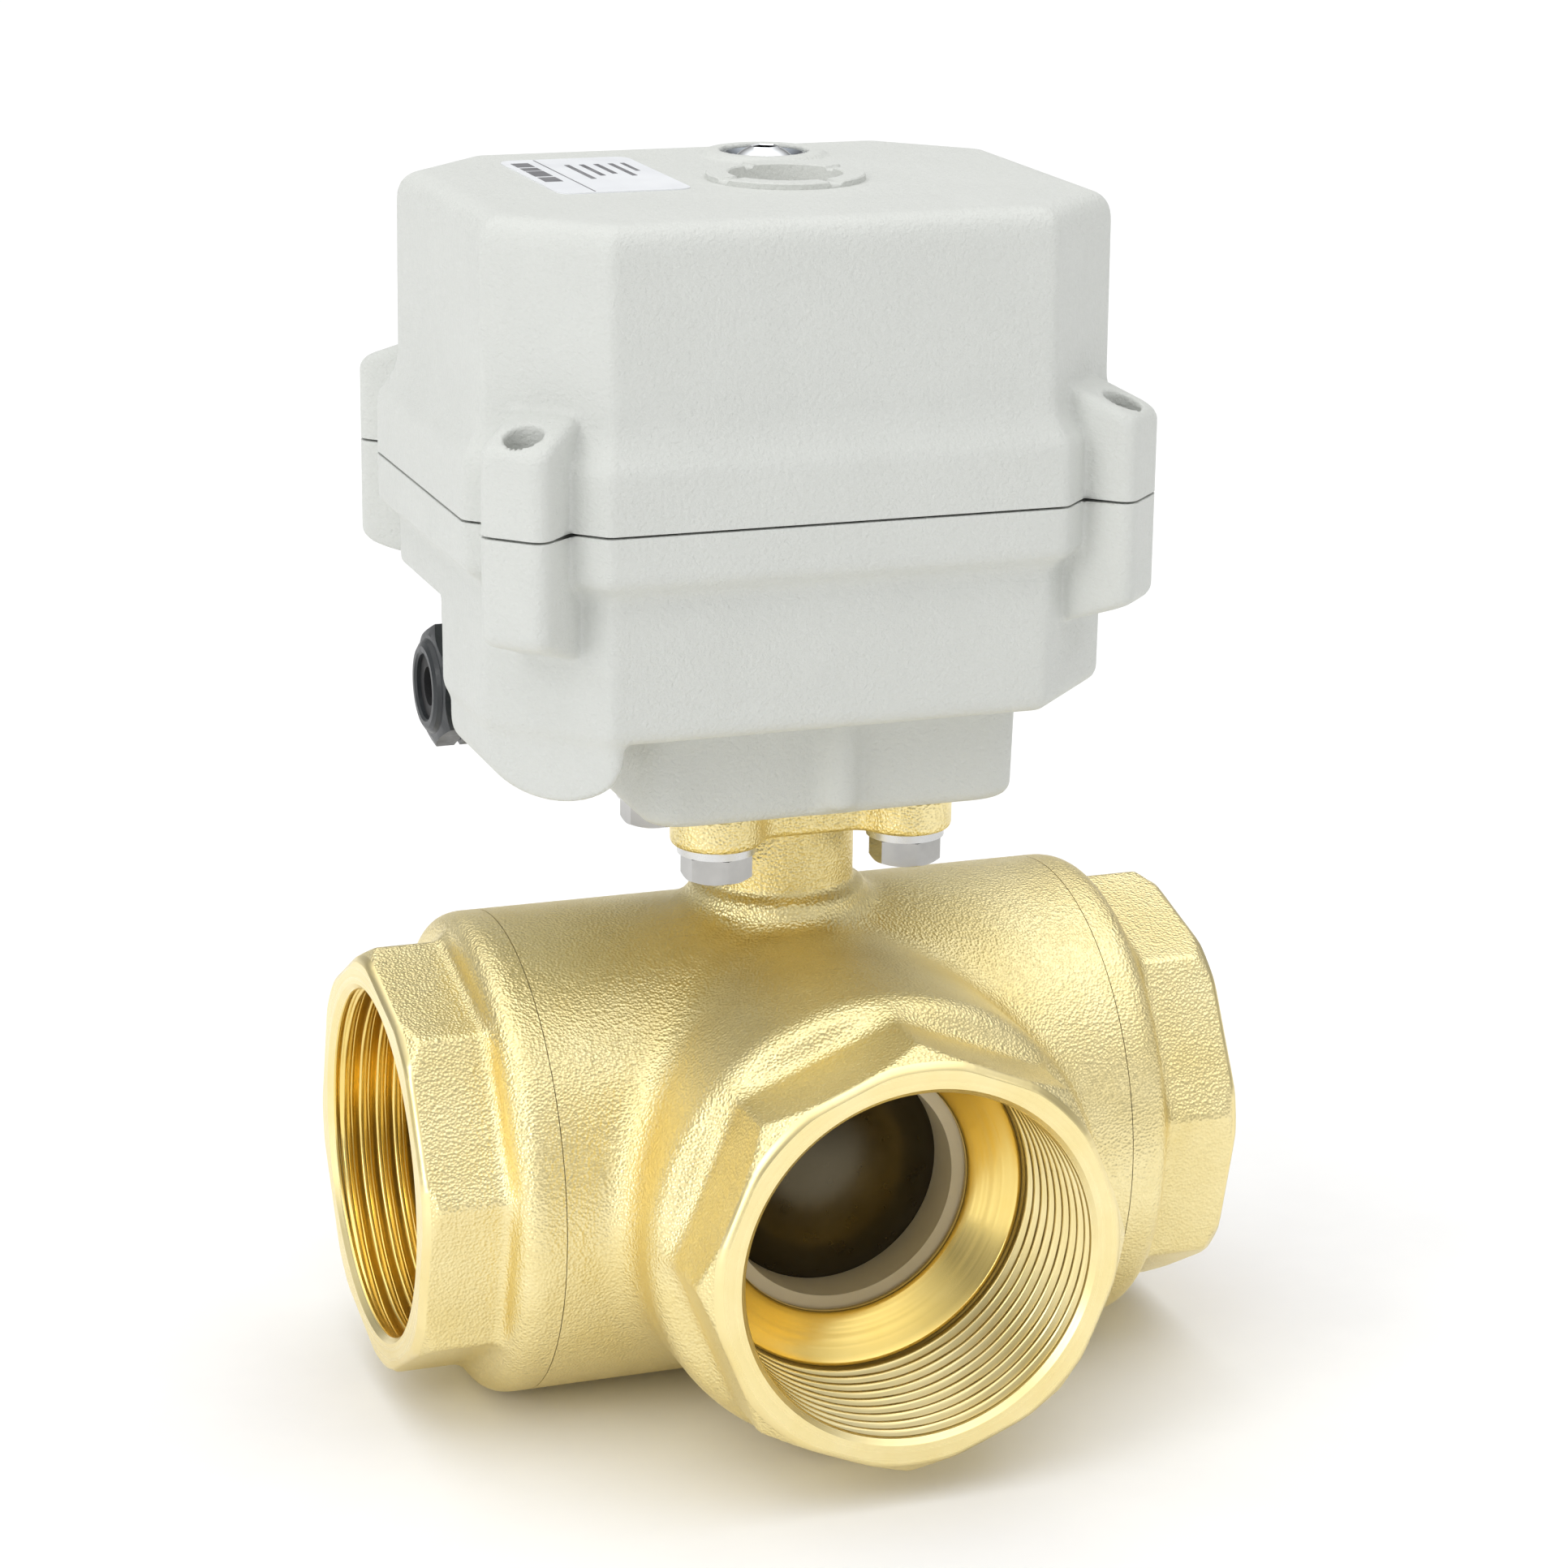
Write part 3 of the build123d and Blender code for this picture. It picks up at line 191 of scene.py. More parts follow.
def cell_points(values, inside):
    """One point in each cell that the surface crosses, in cell units, and the cells' index."""
    count = np.zeros([n - 1 for n in inside.shape], np.int8)
    for corner in CORNERS:
        shifted = tuple(slice(c, n - 1 + c) for c, n in zip(corner, inside.shape))
        count += inside[shifted]
    cells = np.argwhere((count > 0) & (count < 8))
    index = np.full([s - 1 for s in values.shape], -1, np.int64)
    index[tuple(cells.T)] = np.arange(len(cells))
    corner_values = np.stack([values[tuple((cells + c).T)] for c in CORNERS], 1).astype(float)
    total = np.zeros((len(cells), 3))
    hits = np.zeros(len(cells))
    for a, b in CELL_EDGES:
        va, vb = corner_values[:, a], corner_values[:, b]
        crossing = (va < 0) != (vb < 0)
        t = np.where(crossing, va / np.where(crossing, va - vb, 1), 0)[:, None]
        point = np.array(CORNERS[a]) + t * (np.array(CORNERS[b]) - np.array(CORNERS[a]))
        total += np.where(crossing[:, None], point, 0)
        hits += crossing
    return cells + total / hits[:, None], index


def pull(sdf, points, voxel):
    """Moves points onto the field's zero level."""
    step = PROBE * voxel
    for _ in range(PULLS):
        x, y, z = points.T
        d = sdf(x, y, z)
        grad = np.stack([sdf(x + step, y, z) - sdf(x - step, y, z),
                         sdf(x, y + step, z) - sdf(x, y - step, z),
                         sdf(x, y, z + step) - sdf(x, y, z - step)], 1) / (2 * step)
        size = np.maximum((grad ** 2).sum(1), 0.25)
        move = grad * (d / size)[:, None]
        points -= np.clip(move, -voxel / 2, voxel / 2)
    return points


def cell_quads(inside, index):
    """Joins the four cells round each grid edge that passes through the surface."""
    faces = []
    for axis in range(3):
        near = [slice(1, s - 1) for s in inside.shape]
        near[axis] = slice(0, inside.shape[axis] - 1)
        far = list(near)
        far[axis] = slice(1, inside.shape[axis])
        first, second = inside[tuple(near)], inside[tuple(far)]
        edge = np.argwhere(first != second)
        outward = first[tuple(edge.T)]
        base = edge + np.array([0 if i == axis else 1 for i in range(3)])
        u, v = [(1, 2), (2, 0), (0, 1)][axis]
        quad = []
        for du, dv in ((-1, -1), (0, -1), (0, 0), (-1, 0)):
            cell = base.copy()
            cell[:, u] += du
            cell[:, v] += dv
            quad.append(index[tuple(cell.T)])
        quad = np.stack(quad, 1)
        faces.append(np.where(outward[:, None], quad, quad[:, ::-1]))
    return np.concatenate(faces)


def surface(sdf, lo, hi, voxel):
    """Surface-nets mesh of the field's zero level."""
    axes = [np.arange(lo[i], hi[i] + voxel, voxel) for i in range(3)]
    values = sample(sdf, axes)
    inside = values < 0
    points, index = cell_points(values, inside)
    return pull(sdf, np.array(lo) + points * voxel, voxel), cell_quads(inside, index)


def clip(bm, point, normal):
    """Removes what lies beyond a plane, and returns the cut's edges."""
    plane = to_world(point)
    cut = bmesh.ops.bisect_plane(bm, geom=bm.verts[:] + bm.edges[:] + bm.faces[:], dist=1e-7,
                                 plane_co=plane, plane_no=normal, clear_outer=True)
    return [g for g in cut["geom_cut"] if isinstance(g, bmesh.types.BMEdge)]


def close_ring(bm, edges):
    """Closes the cut of a hollow shell with a flat ring between its outline and its bore."""
    made = bmesh.ops.bridge_loops(bm, edges=edges)
    for face in made["faces"]:
        face.smooth = False


def loops_of(edges):
    """Groups edges into closed loops of vertices."""
    left = dict.fromkeys(edges)
    loops = []
    while left:
        edge = left.popitem()[0]
        loop = [edge.verts[0], edge.verts[1]]
        while True:
            grown = [e for e in loop[-1].link_edges if e in left]
            if not grown:
                break
            del left[grown[0]]
            nxt = grown[0].other_vert(loop[-1])
            if nxt is loop[0]:
                break
            loop.append(nxt)
        loops.append(loop)
    return loops


# --- valve body ------------------------------------------------------------------------------
SMALL_ROUND = 0.5
BRANCH_R = 30.0
BRANCH_END = 41.8
BRANCH_ROUND = 4.6
BRANCH_BLEND = 5.0
WRENCH_BACK = 30.0
NECK_R = 9.8
NECK_BLEND = 3.4
COLLAR_R = 11.2
COLLAR_TOP = 33.4
COLLAR_ROUND = 1.5
PAD_BOTTOM = 43.0
PAD_SIDE = 27.4
PAD_ROUND = 2.0
LOBE_R = 5.9
LOBE_BLEND = 2.5
BOLT_AT = 12.73
STEM_BORE_R = 6.6
CAVITY_R = 25.0
BRANCH_BORE_R = 19.6
INSERT_R = 24.4
INSERT_DEPTH = 28.2

PORT_FLATS = 52.0
FLAT_TURN = 22.5
END_TWIST = -8.0
OCTAGON_ROUND = 0.45
BRANCH_CONE_R = 25.6
END_CONE_R = 26.2
CONE_SLOPE = 0.9
CONE_NORM = 1.345
CONE_ROUND = 0.3
SHOULDER_X = 43.9
SHOULDER_ROUND = 4.0


def face_cone(radial, past_face, radius):
    """Turned cone that takes the octagon's corners off at a port's face."""
    return (radial + CONE_SLOPE * past_face - radius) / CONE_NORM


def cast_branch(x, y, z):
    """Branch barrel and its octagon."""
    radial, front = length(x, z), -y
    barrel = smax(radial - BRANCH_R, front - BRANCH_END, BRANCH_ROUND)
    barrel = smax(barrel, y, SMALL_ROUND)
    wrench = octagon(x, z, PORT_FLATS, FLAT_TURN, OCTAGON_ROUND)
    wrench = smax(wrench, y + WRENCH_BACK, SMALL_ROUND)
    wrench = smax(wrench, face_cone(radial, front - BRANCH_FACE, BRANCH_CONE_R), CONE_ROUND)
    return smin(barrel, wrench, 2.0)


def cast_neck(x, y, z):
    """Neck that stands on a round collar."""
    radial = length(x, y)
    neck = smax(radial - NECK_R, z - PAD_BOTTOM - 2, SMALL_ROUND)
    neck = smax(neck, -z, SMALL_ROUND)
    collar = smax(radial - COLLAR_R, z - COLLAR_TOP, COLLAR_ROUND)
    collar = smax(collar, -z, SMALL_ROUND)
    return smin(neck, collar, 1.0)


def cast_pad(x, y, z):
    """Square actuator pad with a round lobe about each bolt."""
    square = smax(np.abs(x) - PAD_SIDE / 2, np.abs(y) - PAD_SIDE / 2, PAD_ROUND)
    lobes = length(np.abs(x) - BOLT_AT, np.abs(y) - BOLT_AT) - LOBE_R
    slab = np.abs(z - (PAD_BOTTOM + PAD_TOP) / 2) - (PAD_TOP - PAD_BOTTOM) / 2
    return smax(smin(square, lobes, LOBE_BLEND), slab, 1.0)


def body_hollows(x, y, z):
    """Ball cavity, space for the machined branch port, its bore and the stem's bore."""
    cavity = length(y, z) - CAVITY_R
    insert = np.maximum(length(x, z) - INSERT_R, BRANCH_FACE - INSERT_DEPTH + y)
    bore = np.maximum(length(x, z) - BRANCH_BORE_R, y)
    stem = np.maximum(length(x, y) - STEM_BORE_R, -z)
    return np.minimum(np.minimum(cavity, insert), np.minimum(bore, stem))


def cast_body(x, y, z):
    """Outside and hollows; the branch's fillet narrows towards the barrel's top and bottom."""
    fillet = 0.4 + BRANCH_BLEND * np.clip(1 - (z / BARREL_R) ** 2, 0, 1)
    body = smin(length(y, z) - BARREL_R, cast_branch(x, y, z), fillet)
    body = smin(body, cast_neck(x, y, z), NECK_BLEND)
    body = smin(body, cast_pad(x, y, z), 1.2)
    return np.maximum(body, -body_hollows(x, y, z))


def cast_cap(x, y, z):
    """Right end connector, before its face and seam are cut."""
    radial = length(y, z)
    collar = smax(radial - BARREL_R, x - SHOULDER_X, SHOULDER_ROUND)
    wrench = octagon(y, z, PORT_FLATS, FLAT_TURN + END_TWIST, OCTAGON_ROUND)
    wrench = smax(wrench, face_cone(radial, x - END_FACE, END_CONE_R), CONE_ROUND)
    cap = smin(collar, wrench, 1.8)
    insert = np.maximum(radial - INSERT_R, END_FACE - INSERT_DEPTH - x)
    return np.maximum(cap, -insert)


# Funnel behind the threads: depths from the port's face and radii.
BOWL = [(22.9, 22.42), (23.2, 22.1), (23.7, 21.4), (24.4, 20.4), (25.1, 19.5), (25.8, 18.6), (26.4, 17.8),
        (26.9, 17.2), (27.2, 16.9), (27.5, 16.8), (INSERT_DEPTH, 16.8), (INSERT_DEPTH, 19.4),
        (INSERT_DEPTH, INSERT_R)]
BEVEL = 0.9
BEVEL_KNEE = (0.25, 0.35)
MOUTH_R = THREAD_R + 0.75
MOUTH_FOOT_R = THREAD_R + 0.1
MOUTH_DEPTH = 0.7
FACE_MIDDLE = 11.7
THREAD_START = 0.9
THREAD_END = 22.8
THREAD_HEIGHT = 1.36
THREAD_PHASE = 3.9
LEAD_IN = 1.1
LEAD_IN_LENGTH = 0.9
RUN_OUT = 22.6
RUN_OUT_LENGTH = 1.6
GROOVE_EDGE = 0.80
GROOVE_FLANK = 0.70
MOUTH_ROWS = 5
SHARP_ROWS = (0, 2, 4, 5)


def thread_depth(theta, depth):
    """How far the helical groove reaches behind the crest at an angle and a depth."""
    turn = (depth - THREAD_PHASE) / THREAD_PITCH + 0.5 + theta / (2 * math.pi)
    offset = np.abs(turn - np.floor(turn) - 0.5) * 2
    groove = np.clip((GROOVE_EDGE - offset) / GROOVE_FLANK, 0, 1)
    fade_in = np.clip((depth - LEAD_IN) / LEAD_IN_LENGTH, 0, 1)
    fade_out = np.clip((RUN_OUT - depth) / RUN_OUT_LENGTH, 0, 1)
    return THREAD_HEIGHT * groove * fade_in * fade_out


def port_rings(loop, face, basis):
    """Machined face, mouth chamfer, threads, run-out and bore, grown inward from a cut outline."""
    axis_u, axis_v, axis_w = basis
    u, v = loop @ axis_u, loop @ axis_v
    order = np.argsort(np.arctan2(v, u))
    u, v = u[order], v[order]
    theta = np.arctan2(v, u)
    radius = np.hypot(u, v)
    rows = [(radius, face - BEVEL), (radius - BEVEL_KNEE[0], face - BEVEL_KNEE[1]), (radius - BEVEL, face)]
    rows += [(radius / 2 + FACE_MIDDLE, face), (MOUTH_R, face), (MOUTH_FOOT_R, face - MOUTH_DEPTH)]
    for depth in np.arange(THREAD_START, THREAD_END, THREAD_STEP):
        rows.append((THREAD_R + thread_depth(theta, depth), face - depth))
    rows += [(r, face - depth) for depth, r in BOWL]
    outward = np.cos(theta)[:, None] * axis_u + np.sin(theta)[:, None] * axis_v
    return np.array([np.broadcast_to(r, theta.shape)[:, None] * outward + w * axis_w for r, w in rows])


def spread(loop):
    """Mean distance of a loop's vertices from their centre."""
    centre = sum((v.co for v in loop), Vector()) / len(loop)
    return sum((v.co - centre).length for v in loop) / len(loop)


def weld_port(bm, edges, face, basis, pale_rows):
    """Joins the machined port to the cut casting; its first rows are paler than the ones behind, whose deeper
    gold is painted reflected light from the brass around them.
    """
    outer = max(loops_of(edges), key=spread)
    cut = np.array([v.co for v in outer]) / MM - ORIGIN
    rings = port_rings(cut, face, basis)
    rows = [[bm.verts.new(co) for co in to_world(ring)] for ring in rings]
    n = len(rows[0])
    pale = pale_rows % (len(rows) - len(BOWL))
    for level, (a, b) in enumerate(zip(rows, rows[1:])):
        for i in range(n):
            j = (i + 1) % n
            f = bm.faces.new((a[i], a[j], b[j], b[i]))
            f.smooth = True
            f.material_index = 1 if level < pale else 2
    for number in SHARP_ROWS:
        row = rows[number]
        for i in range(n):
            bm.edges.get((row[i], row[(i + 1) % n])).smooth = False
    bmesh.ops.remove_doubles(bm, verts=rows[0] + list(outer), dist=2e-6)


X, Y, Z = np.eye(3)
MARGIN = 1.5
SEAM_GAP = 0.05


def build_body():
    lo = (-SEAM - MARGIN, -BRANCH_FACE - MARGIN, -BARREL_R - 1)
    hi = (SEAM + MARGIN, BARREL_R + 1, PAD_TOP + 1)
    points, faces = surface(cast_body, lo, hi, VOXEL)
    obj = new_object("valve_body_cast", points, faces)
    bm = bmesh.new()
    bm.from_mesh(obj.data)
    for side in (-1, 1):
        edges = clip(bm, (side * (SEAM - SEAM_GAP), 0, 0), (side, 0, 0))
        close_ring(bm, edges)
    edges = clip(bm, (0, -BRANCH_FACE + BEVEL, 0), (0, -1, 0))
    weld_port(bm, edges, BRANCH_FACE, (X, Z, -Y), -1)
    bmesh.ops.recalc_face_normals(bm, faces=bm.faces[:])
    bm.to_mesh(obj.data)
    bm.free()
    return finish_piece(obj, "housing", "brass", "valve_body")


def build_cap(side, node):
    lo = (SEAM - MARGIN, -BARREL_R - 1, -BARREL_R - 1)
    hi = (END_FACE + MARGIN, BARREL_R + 1, BARREL_R + 1)
    points, faces = surface(cast_cap, lo, hi, VOXEL)
    obj = new_object(node + "_cast", points * (side, 1, 1), faces[:, ::side])
    bm = bmesh.new()
    bm.from_mesh(obj.data)
    edges = clip(bm, (side * (SEAM + SEAM_GAP), 0, 0), (-side, 0, 0))
    close_ring(bm, edges)
    edges = clip(bm, (side * (END_FACE - BEVEL), 0, 0), (side, 0, 0))
    weld_port(bm, edges, END_FACE, (Y, Z, X) if side > 0 else (Z, Y, -X), MOUTH_ROWS)
    bmesh.ops.recalc_face_normals(bm, faces=bm.faces[:])
    bm.to_mesh(obj.data)
    bm.free()
    return finish_piece(obj, "housing", "brass", node)


# --- actuator housing --------------------------------------------------------------------------
PLAN_ROUND = 0.55


def plan(x, y):
    """Housing plan: a rectangle with its corners cut."""
    u = np.abs(x - HOUSE_MID)
    v = np.abs(y)
    box = smax(u - HOUSE_HX, v - HOUSE_HY, PLAN_ROUND)
    return smax(box, (u + v - (HOUSE_HX + HOUSE_HY - HOUSE_CUT)) / math.sqrt(2), PLAN_ROUND)


EAR_HALF = 4.6
EAR_OUT = 8.8
EAR_IN = 2.5
EAR_SIDE_ROUND = 2.2
EAR_END_ROUND = 1.5
EAR_BLEND = 0.6
EAR_TOP = (102.4, 99.0)
EAR_BOTTOM = (72.6, 75.6)
HOLE_OUT = 5.25
HOLE_R = 2.35
HOLE_FLOOR = 91.5


def ear_frame(x, y):
    """Distances along and out of the nearest cut corner, from the screw ear's foot."""
    u = np.abs(x - HOUSE_MID) - (HOUSE_HX - HOUSE_CUT / 2)
    v = np.abs(y) - (HOUSE_HY - HOUSE_CUT / 2)
    out = (u + v) / math.sqrt(2)
    along = (u - v) / math.sqrt(2)
    return along, out


def ears(x, y, z, heights, up):
    """Screw ears whose end slopes from one height at the wall to another at the outer edge."""
    along, out = ear_frame(x, y)
    d = smax(np.abs(along) - EAR_HALF, out - EAR_OUT, EAR_SIDE_ROUND)
    d = np.maximum(d, -out - EAR_IN)
    slope = (heights[1] - heights[0]) / EAR_OUT
    end = heights[0] + slope * np.maximum(out, 0)
    return smax(d, (z - end) * up / math.hypot(1, slope), EAR_END_ROUND)


def ear_holes(x, y, z):
    along, out = ear_frame(x, y)
    return np.maximum(length(along, out - HOLE_OUT) - HOLE_R, HOLE_FLOOR - z)


DRAFT = 0.006
COVER_ROUND = 3.8
COVER_LIP_Z = 99.6
COVER_LIP_SLOPE = 1.36
COVER_LIP_NORM = 1.69
COVER_LIP_TOP = 100.5
SURROUND_R = 7.8
SURROUND_UP = 0.55
WINDOW_BORE_R = 7.6


def override_surround(radial, z):
    """Low round boss about the hand override."""
    boss = smax(radial - SURROUND_R, z - COVER_TOP - SURROUND_UP, 0.8)
    return np.maximum(boss, COVER_TOP - WALL - z)


def cast_cover(x, y, z):
    wall = plan(x, y) + DRAFT * (z - COVER_BOTTOM)
    override = length(x - OVERRIDE_X, y - OVERRIDE_Y)
    shell = smax(wall, z - COVER_TOP, COVER_ROUND)
    lip = smax(wall - FLANGE, (COVER_LIP_SLOPE * wall + z - COVER_LIP_Z) / COVER_LIP_NORM, 0.6)
    shell = smin(shell, np.maximum(lip, z - COVER_LIP_TOP), 1.5)
    shell = smin(shell, ears(x, y, z, EAR_TOP, 1), EAR_BLEND)
    shell = smin(shell, override_surround(override, z), 0.9)
    shell = smax(shell, -ear_holes(x, y, z), 0.35)
    inner = np.maximum(plan(x, y) + WALL, z - COVER_TOP + WALL)
    bores = np.minimum(length(x, y) - WINDOW_BORE_R, override - BEZEL_R)
    return np.maximum(shell, -np.minimum(inner, bores))


BASE_ROUND = 2.4
BASE_LIP_Z = 80.6
BASE_LIP_SLOPE = 0.8
BASE_LIP_NORM = 1.28
BASE_LIP_BOTTOM = 79.6
POD_X = -37.7
POD_Z = 61.5
POD_R = 7.3
POD_INSET = 0.9
RECESS_X = -38.0
RECESS_TOP = 74.0
BOX_HX = 24.5
BOX_HY = 22.25
BOX_CORNER = 5.0
BOX_DRAFT = 0.02
RIB_R = 2.5
RIB_Y = -22.05
BUSH_R = 11.5
BOSS_R = 8.6
BOSS_END = -20.0
GLAND_HOLE_R = 5.1
GLAND_HOLE_END = -30.0


def pod(x, y, z, wall):
    """Half-round pod under the left front corner."""
    bulge = smax(length(x - POD_X, z - POD_Z) - POD_R, wall + POD_INSET, 0.9)
    return smax(bulge, y, 1.5)


def gearbox_foot(x, y, z):
    """Drafted box under the base, with an upright half-round rib on its front."""
    box = smax(np.abs(x) - BOX_HX, np.abs(y) - BOX_HY, BOX_CORNER)
    box = smax(box - BOX_DRAFT * (z - BOX_BOTTOM), BOX_BOTTOM - z, 2.2)
    box = smax(box, z - BASE_FLOOR - 1, SMALL_ROUND)
    rib_ends = np.maximum(BOX_BOTTOM + 1.2 - z, z - BASE_FLOOR - 1)
    rib = smax(length(x, y - RIB_Y) - RIB_R, rib_ends, 1.6)
    return smin(box, rib, 1.6)


def cast_base(x, y, z):
    wall = plan(x, y) + DRAFT * (BASE_TOP - z)
    gland = length(y - GLAND_Y, z - GLAND_Z)
    shell = smax(wall, BASE_FLOOR - z, BASE_ROUND)
    lip = smax(wall - FLANGE, (BASE_LIP_SLOPE * wall + BASE_LIP_Z - z) / BASE_LIP_NORM, 0.8)
    shell = smin(shell, np.maximum(lip, BASE_LIP_BOTTOM - z), 1.0)
    shell = smin(shell, ears(x, y, z, EAR_BOTTOM, -1), EAR_BLEND)
    recess = smax(smax(x - RECESS_X, -y, 1.0), z - RECESS_TOP, 1.5)
    shell = smax(shell, -recess, 1.2)
    shell = smin(shell, pod(x, y, z, wall), 1.0)
    shell = smin(shell, gearbox_foot(x, y, z), 1.6)
    boss = smax(gland - BOSS_R, np.maximum(RECESS_X - x, x - BOSS_END), 1.0)
    shell = smin(shell, boss, 1.8)
    inner = np.maximum(plan(x, y) + WALL, BASE_FLOOR + WALL - z)
    recess_wall = np.maximum(np.maximum(x - RECESS_X - WALL, -WALL - y), z - RECESS_TOP - WALL)
    inner = np.maximum(inner, -recess_wall)
    gland_hole = np.maximum(gland - GLAND_HOLE_R, x - GLAND_HOLE_END)
    bores = np.minimum(length(x, y) - BUSH_R, gland_hole)
    return np.maximum(shell, -np.minimum(inner, bores))


def build_shell(node, field, lo, hi, seam_z, down):
    """Casting cut flat at the housing's seam, with a flat ring round its opening."""
    lo = np.array(lo) - MARGIN
    hi = np.array(hi) + MARGIN
    points, faces = surface(field, lo, hi, VOXEL)
    obj = new_object(node + "_cast", points, faces)
    bm = bmesh.new()
    bm.from_mesh(obj.data)
    close_ring(bm, clip(bm, (0, 0, seam_z), (0, 0, down)))
    bm.to_mesh(obj.data)
    bm.free()
    return finish_piece(obj, "housing", "paint", node)


def build_cover():
    return build_shell("cover", cast_cover, COVER_LO, COVER_HI, COVER_BOTTOM, -1)


def build_base():
    return build_shell("base", cast_base, BASE_LO, BASE_HI, BASE_TOP, 1)


# --- turned and hexagonal pieces -----------------------------------------------------------------
def grid_faces(rows, columns):
    """Quads between rows of vertices that close on themselves."""
    faces = []
    for row in range(rows - 1):
        low, high = row * columns, (row + 1) * columns
        for c in range(columns):
            d = (c + 1) % columns
            faces.append((low + c, low + d, high + d, high + c))
    return faces


def lathe(name, profile, steps, centre=(0, 0), degrees=30):
    """Revolves (radius, height) pairs, where a radius may depend on the angle."""
    theta = np.linspace(0, 2 * math.pi, steps, endpoint=False)
    rows = []
    for radius, height in profile:
        r = radius(theta) if callable(radius) else np.full(steps, float(radius))
        h = height(theta) if callable(height) else np.full(steps, float(height))
        rows.append(np.stack([centre[0] + r * np.cos(theta), centre[1] + r * np.sin(theta), h], 1))
    obj = new_object(name, np.concatenate(rows), grid_faces(len(rows), steps))
    return tidy_mesh(obj, degrees)


def tidy_mesh(obj, degrees):
    """Welds coincident vertices, turns the faces outward and sharpens the edges."""
    bm = bmesh.new()
    bm.from_mesh(obj.data)
    bmesh.ops.remove_doubles(bm, verts=bm.verts[:], dist=1e-7)
    bmesh.ops.dissolve_degenerate(bm, edges=bm.edges[:], dist=1e-7)
    bmesh.ops.recalc_face_normals(bm, faces=bm.faces[:])
    bm.to_mesh(obj.data)
    bm.free()
    return sharpen(obj, degrees)


def hex_radius(flats, theta):
    """Radius of a hexagon's outline at an angle."""
    wedge = (theta + math.pi / 6) % (math.pi / 3) - math.pi / 6
    return flats / 2 / np.cos(wedge)


CROWN_START = 0.97
CROWN_FLAT = 0.94


def hex_profile(flats, bottom, top, crown, bottom_crown=True, top_crown=False, hole=0.0):
    """Rows of a hexagon whose corners are turned off by cones at its ends."""
    def side(theta):
        return hex_radius(flats, theta)

    def corner(theta):
        return (side(theta) - flats / 2 * CROWN_START) * crown

    rows = [(hole, bottom)]
    if bottom_crown:
        rows += [(flats / 2 * CROWN_FLAT, bottom), (side, lambda t: bottom + corner(t))]
    else:
        rows += [(side, bottom)]
    if top_crown:
        rows += [(side, lambda t: top - corner(t)), (flats / 2 * CROWN_FLAT, top)]
    else:
        rows += [(side, top)]
    rows.append((hole, top))
    if hole:
        rows.append((hole, bottom))
    return rows


def join(name, parts):
    """Joins meshes into one object."""
    bm = bmesh.new()
    for part in parts:
        bm.from_mesh(part.data)
        mesh = part.data
        bpy.data.objects.remove(part)
        bpy.data.meshes.remove(mesh)
    mesh = bpy.data.meshes.new(name)
    bm.to_mesh(mesh)
    bm.free()
    obj = bpy.data.objects.new(name, mesh)
    bpy.context.scene.collection.objects.link(obj)
    return obj


RING_IN = 7.1
RING_OUT = 10.0
RING_UP = 0.8
NOTCHES = 4
NOTCH_HALF = 0.8
NOTCH_TURN = math.radians(20)
NOTCH_DEPTH = 0.4
NOTCH_AT_R = 8.5


def build_indicator_ring():
    """Raised ring round the indicator window, with four small notches."""
    pitch = 2 * math.pi / NOTCHES

    def notch(theta):
        turn = (theta - NOTCH_TURN + pitch / 2) % pitch - pitch / 2
        return np.clip((NOTCH_HALF + 0.15 - np.abs(turn) * NOTCH_AT_R) / 0.3, 0, 1)

    def crest(theta):
        return COVER_TOP + RING_UP - NOTCH_DEPTH * notch(theta)

    def shoulder(theta):
        return crest(theta) - 0.16

    inside = COVER_TOP - WALL + 0.1
    rows = [
        (RING_OUT + 0.05, COVER_TOP - 0.5), (RING_OUT, COVER_TOP + 0.1), (RING_OUT - 0.06, shoulder),
        (RING_OUT - 0.24, crest), (RING_IN + 0.22, crest), (RING_IN + 0.04, shoulder),
        (RING_IN, COVER_TOP - 0.3), (RING_IN, inside), (RING_IN + 0.6, inside),
    ]
    return finish_piece(lathe("indicator_ring", rows, 288, degrees=40), "housing", "paint")


KEY_FLATS = 3.0
SOCKET_DEPTH = 4.4
DOME_HEIGHT = 1.7
HEAD_BOTTOM = 117.5
OVERRIDE_SHAFT_R = 3.0


def build_override_head():
    """Chromed dome with a hexagon key socket, on its shaft."""
    head_r = (OVERRIDE_HI[0] - OVERRIDE_LO[0]) / 2
    top = OVERRIDE_HI[2]
    sphere = (head_r ** 2 + DOME_HEIGHT ** 2) / 2 / DOME_HEIGHT

    def cap(r):
        return top + math.sqrt(sphere ** 2 - r ** 2) - sphere

    def key(theta):
        return hex_radius(KEY_FLATS, theta)

    def key_mouth(theta):
        return key(theta) + 0.16

    rows = [(0.0, top - SOCKET_DEPTH), (key, top - SOCKET_DEPTH), (key, top - 0.35), (key_mouth, top - 0.2)]
    rows += [(r, cap(r)) for r in np.linspace(2.05, head_r - 0.12, 10)]
    rows += [(head_r, cap(head_r) - 0.12), (head_r, HEAD_BOTTOM), (OVERRIDE_SHAFT_R, HEAD_BOTTOM)]
    rows += [(OVERRIDE_SHAFT_R, OVERRIDE_LO[2]), (0.0, OVERRIDE_LO[2])]
    obj = lathe("override_head", rows, 96, (OVERRIDE_X, OVERRIDE_Y), 35)
    return finish_piece(obj, "override", "chrome", "override_shaft")


BEZEL_BORE_R = 3.95


